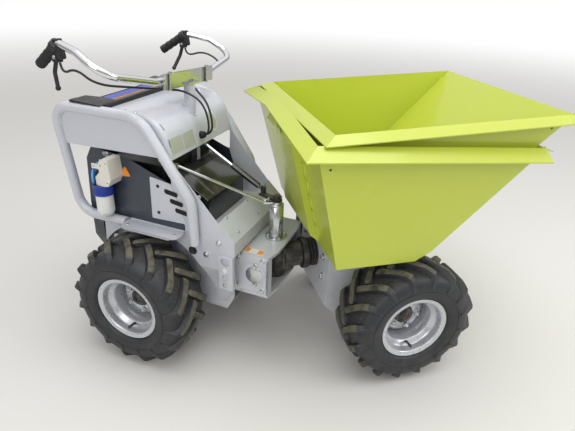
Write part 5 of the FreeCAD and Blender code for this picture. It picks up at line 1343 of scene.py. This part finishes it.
def makePivotBox():
    # top and bottom plates overhang the side walls a little; each wall has its bearing cover
    b = boxShape
    h = b["half"]
    outline = [(b["rear"], -h), (b["front"] - 12, -h), (b["front"], 60 - h), (b["front"], h - 60),
               (b["front"] - 12, h), (b["rear"], h)]
    flats = [slab(outline, b["top"] - b["plate"], b["top"], "z"), slab(outline, b["low"], b["low"] + b["plate"], "z"),
             brick(-64, -56, -h, h, b["low"] + 1, b["top"] - 1)]
    walls = [brick(b["rear"], b["front"] - 10, 0.4 - h, 8 - h, b["low"] + 1, b["top"] - 1),
             brick(b["front"] - 18, b["front"] - 10.2, 0.4 - h, 26 - h, b["low"] + 1, b["top"] - 1)]
    # weld beads under the top plate and above the bottom one
    for z in (b["top"] - b["plate"] - 1.0, b["low"] + b["plate"] + 1.0):
        walls.append(swept([(x, 0.2 - h, z + 0.3 * math.sin(x * 1.1)) for x in np.arange(b["rear"] + 3, b["front"] - 13, 2.5)],
                           1.6, 8))
    cx, cz = b["cover"]
    hexagon = [(-46, 8), (-22, 41), (16, 41), (39, 18), (39, -6), (14, -46), (-22, -40)]
    cover = [slab(roundOutline([(cx + dx, cz + dz) for dx, dz in hexagon], 5), -h - 4, -h + 0.3)]
    piece("pivotBoxPlates", joined(flats + bothSides(walls)), mats["greyPaint"], rearAt, "rear_unit",
          replaces=["pivot_box"], bevel=0.8)
    piece("bearingCovers", joined(bothSides(cover)), mats["greyPaint"], rearAt, "rear_unit",
          bevel=0.9)
    disc = stretchedAlong(turned([(0, 0.05), (0, 32.0), (2.4, 32.0), (3.2, 31.0), (3.2, 0.05)], 64),
                          (cx + 2, -h - 4, cz), (0, -1, 0))
    piece("bearingDiscs", joined(bothSides([disc])), mats["zinc"], rearAt, "rear_unit", sharp=50)
    bolts = [hexHead((cx + 5, -h - 4, cz + dz), (0, -1, 0), 12, 8, 1.6) for dz in (36.5, -36.5)]
    for x, z in ((-74, 407), (18, 408), (-74, 286), (18, 287)):
        bolts.append(hexHead((x, 0.4 - h, z), (0, -1, 0), 13, 6.5, 1.8))
    piece("boxBolts", joined(bothSides(bolts)), mats["zinc"], rearAt, "rear_unit")
    sticker = slab(roundOutline([(-58, -140), (8, -141), (10, -113), (-56, -109)], 2), 425.05, 425.5, "z")
    ends = [slab([(-56, -138), (-40, -138), (-40, -113), (-54, -111)], 425.45, 425.75, "z"),
            slab([(-10, -139), (6, -139), (8, -115), (-9, -114)], 425.45, 425.75, "z")]
    piece("boxSticker", sticker, mats["label"], rearAt, "rear_unit")
    piece("boxStickerEnds", joined(ends), mats["orange"], rearAt, "rear_unit")


def makeCoverTrim():
    # screws on the sloping cover plate and the black cover
    normal = unit((56.0, 0, 57.0))
    shapes = []
    for y in (-150, 0, 150):
        for x, z in ((-115.5, 542.0), (-73.0, 500.2)):
            shapes.append(domeHead(np.array([x, y, z]) + normal * 1.9, normal, 4.6, 2.4))
    piece("coverScrews", joined(shapes), mats["zinc"], rearAt, "rear_unit")
    heads = bothSides([domeHead((-228, -130, 585), (0, -1, 0), 7, 4)])
    piece("boxScrews", joined(heads), mats["whitePlastic"], rearAt, "rear_unit")


def makePivotTrim():
    # bolts and blank labels on the lashing plates, the post's sleeve and the wing nut at the stay's link
    bolts = []
    for x, z in ((-92, 350), (-92, 318)):
        bolts.append(hexHead((x, -206, z), (0, -1, 0), 16, 7, 1.6))
    piece("lashingBolts", joined(bothSides(bolts)), mats["zinc"], rearAt, "rear_unit")
    oval = slab(circle(-92, 377, 7, 24, 1.3), -210.5, -210.02)
    piece("lashingLabels", joined(bothSides([oval])), mats["label"], rearAt, "rear_unit")
    # sleeve over the post, with a small groove under its top
    low, high = 433.2, 555.4
    sleeve = [(0, 18.3), (0, 24.2), (1, 24.6), (high - low - 9, 24.6), (high - low - 8, 23.6), (high - low - 6, 23.6),
              (high - low - 5, 24.6), (high - low - 1, 24.6), (high - low, 23.8), (high - low, 18.3)]
    piece("postSleeve", stretchedAlong(turned(sleeve, 56, closed=True), (0, 0, low), (0, 0, 1)), mats["zinc"],
          rearAt, "rear_unit", sharp=50)
    # wing nut where the stay meets its link
    t = math.radians(28)
    at = np.array([-40 * math.cos(t), -40 * math.sin(t), 563.6])
    wing = [stretchedAlong(turned([(0, 0.05), (0, 6), (5, 5), (7, 3.5), (12, 3.5), (12, 0.05)], 20), at, (0, 0, 1))]
    for s in (-1, 1):
        wing.append(swept([at + (0, 0, 4), at + (s * 8, s * 3, 9), at + (s * 12, s * 5, 15)], [2.4, 2.6, 3.4], 10))
    piece("stayNuts", joined(wing), mats["zinc"], rearAt, "rear_unit")


for make in (makeLoops, makeHood, makeHoodTrim, makeConsole, makeBar, makeColumn, makeCables, makeCharger,
             makeVents, makeSidePanels, makeRearChassis, makePivotBox, makeCoverTrim, makePivotTrim):
    make()
    print("made:", make.__name__)




# front unit and skip

skipShape = {"rearTop": (2.0, 880.0), "rearLow": (106.0, 470.0), "frontLow": (372.0, 466.0),
             "bevel": (424.0, 498.0), "frontTop": (726.0, 834.0),
             "side": ((2.0, 352.0, 880.0), (106.0, 316.0, 470.0), (726.0, 352.0, 834.0))}
tubShape = {"side": ((58.0, 327.0, 899.0), (150.0, 300.0, 502.0), (812.0, 336.0, 929.0))}


def flare(rows):
    # half width of a flared wall: a + b x + c z through three of its points
    m = np.array([[1.0, x, z] for x, h, z in rows])
    return np.linalg.solve(m, np.array([h for x, h, z in rows]))


def onWall(rows, xz, off0, off1):
    # an outline in x and z laid on the right-hand flared wall, off millimetres outside it
    a, b, c = flare(rows)
    o = np.asarray(xz, float)
    n = len(o)
    points = np.concatenate([np.stack([o[:, 0], -(a + b * o[:, 0] + c * o[:, 1]) - off, o[:, 1]], 1)
                             for off in (off0, off1)])
    faces = [tuple(range(n)), tuple(reversed(range(n, 2 * n)))]
    faces += [(i, (i + 1) % n, n + (i + 1) % n, n + i) for i in range(n)]
    return points, outward(points, faces)


def onBack(sy, off0, off1):
    # an outline in distance down the rear wall and y, off millimetres outside that wall
    top, low = np.array(skipShape["rearTop"]), np.array(skipShape["rearLow"])
    d = (low - top) / np.linalg.norm(low - top)
    o = np.asarray(sy, float)
    n = len(o)
    rows = []
    for off in (off0, off1):
        x = top[0] + d[0] * o[:, 0] + d[1] * off
        z = top[1] + d[1] * o[:, 0] - d[0] * off
        rows.append(np.stack([x, o[:, 1], z], 1))
    points = np.concatenate(rows)
    faces = [tuple(range(n)), tuple(reversed(range(n, 2 * n)))]
    faces += [(i, (i + 1) % n, n + (i + 1) % n, n + i) for i in range(n)]
    return points, outward(points, faces)


def backPoint(s, y, off):
    p, f = onBack([(s, y), (s + 1, y), (s, y + 1)], off, off + 1)
    return p[0]


def makeSkipTrim():
    trim = {"hatHalf": 150.0, "bossY": -18.0, "bosses": (60.0, 205.0, 320.0), "bossR": 15.0}
    # drain and hanging holes seen as dark discs in both skins: painted shade where the holes are
    holes = [onWall(skipShape["side"], circle(46, 812, 3.6, 16), -0.5, 0.25),
             onWall(skipShape["side"], circle(654, 794, 3.6, 16), -0.5, 0.25),
             onWall(tubShape["side"], circle(742, 890, 3.2, 16), -0.5, 0.25)]
    holes += [mirrored(h) for h in holes]
    piece("skipHoleShade", joined(holes), mats["shadowGap"], frontAt, "skip_body")
    # three pressed discs and stitch welds along the hat section on the rear wall
    discs = []
    for s in trim["bosses"]:
        p = backPoint(s, trim["bossY"], 22.0)
        q = backPoint(s, trim["bossY"], 23.0)
        n = unit(q - p)
        discs.append(stretchedAlong(turned([(0, trim["bossR"] + 1.5), (0.7, trim["bossR"] + 0.6),
                                            (1.2, trim["bossR"] - 1.5), (0.9, trim["bossR"] - 4), (0.8, 0.05)],
                                           36), p, n))
        other = backPoint(s, -trim["bossY"], 22.0)
        discs.append(stretchedAlong(turned([(0, trim["bossR"] + 1.5), (0.7, trim["bossR"] + 0.6),
                                            (1.2, trim["bossR"] - 1.5), (0.9, trim["bossR"] - 4), (0.8, 0.05)],
                                           36), other, n))
    piece("skipDiscs", joined(discs), mats["limePaint"], frontAt, "skip_body",
          sharp=60)
    tabs, dark, beads = [], [], []
    for side in (-1, 1):
        y0, y1 = side * trim["hatHalf"], side * (trim["hatHalf"] + 22.0)
        # scalloped foot of the hat: tabs lying on the wall, with gaps between them
        for s in np.arange(64, 400, 56.0):
            out = roundOutline([(s, y0), (s, y1 - side * 4), (s + 6, y1), (s + 34, y1), (s + 40, y1 - side * 4),
                                (s + 40, y0)], 3)
            tabs.append(onBack(out, -0.3, 3.0))
            line = [backPoint(t, y1 + side * 0.6, 0.8 + 0.5 * math.sin(t * 1.3)) for t in np.arange(s + 4, s + 38, 2.0)]
            beads.append(swept(line, 2.6, 8))
    piece("skipTabs", joined(tabs), mats["limePaint"], frontAt, "skip_body", bevel=0.6)
    piece("skipWelds", joined(beads), mats["limePaint"], frontAt, "skip_body", sharp=60)


def makeFrontTrim():
    shapes = []
    for y, z in ((-100, 300), (100, 300), (-100, 380), (100, 380)):
        shapes.append(hexHead((150, y, z), (-1, 0, 0), 16, 8, 1.8))
    for x, z in ((200, 400), (300, 410), (420, 410), (230, 200), (410, 215)):
        for s in (-1, 1):
            shapes.append(hexHead((x, s * 150, z), (0, s, 0), 13, 6, 1.5))
    piece("frontBolts", joined(shapes), mats["zinc"], frontAt, "front_unit")
    # bellows over the roll bearing: ring, then three soft folds, as a closed (y, r) outline
    y = np.linspace(20, 53.6, 40)
    folds = [(float(q), float(50.0 + 3.4 * math.cos((q - 20) / 33.6 * 2 * math.pi * 3))) for q in y]
    prof = [(0, 31), (0, 56.5), (1.5, 58), (18.5, 58), (20, 56.5)] + folds + [(53.8, 31)]
    boot = stretchedAlong(turned(prof, 60, closed=True), (96.2, 0, 345), (1, 0, 0))
    piece("rollBoot", boot, mats["softRubber"], frontAt, "front_unit", replaces=["roll_ring"],
          sharp=40)


for make in (makeSkipTrim, makeFrontTrim):
    make()
    print("made:", make.__name__)
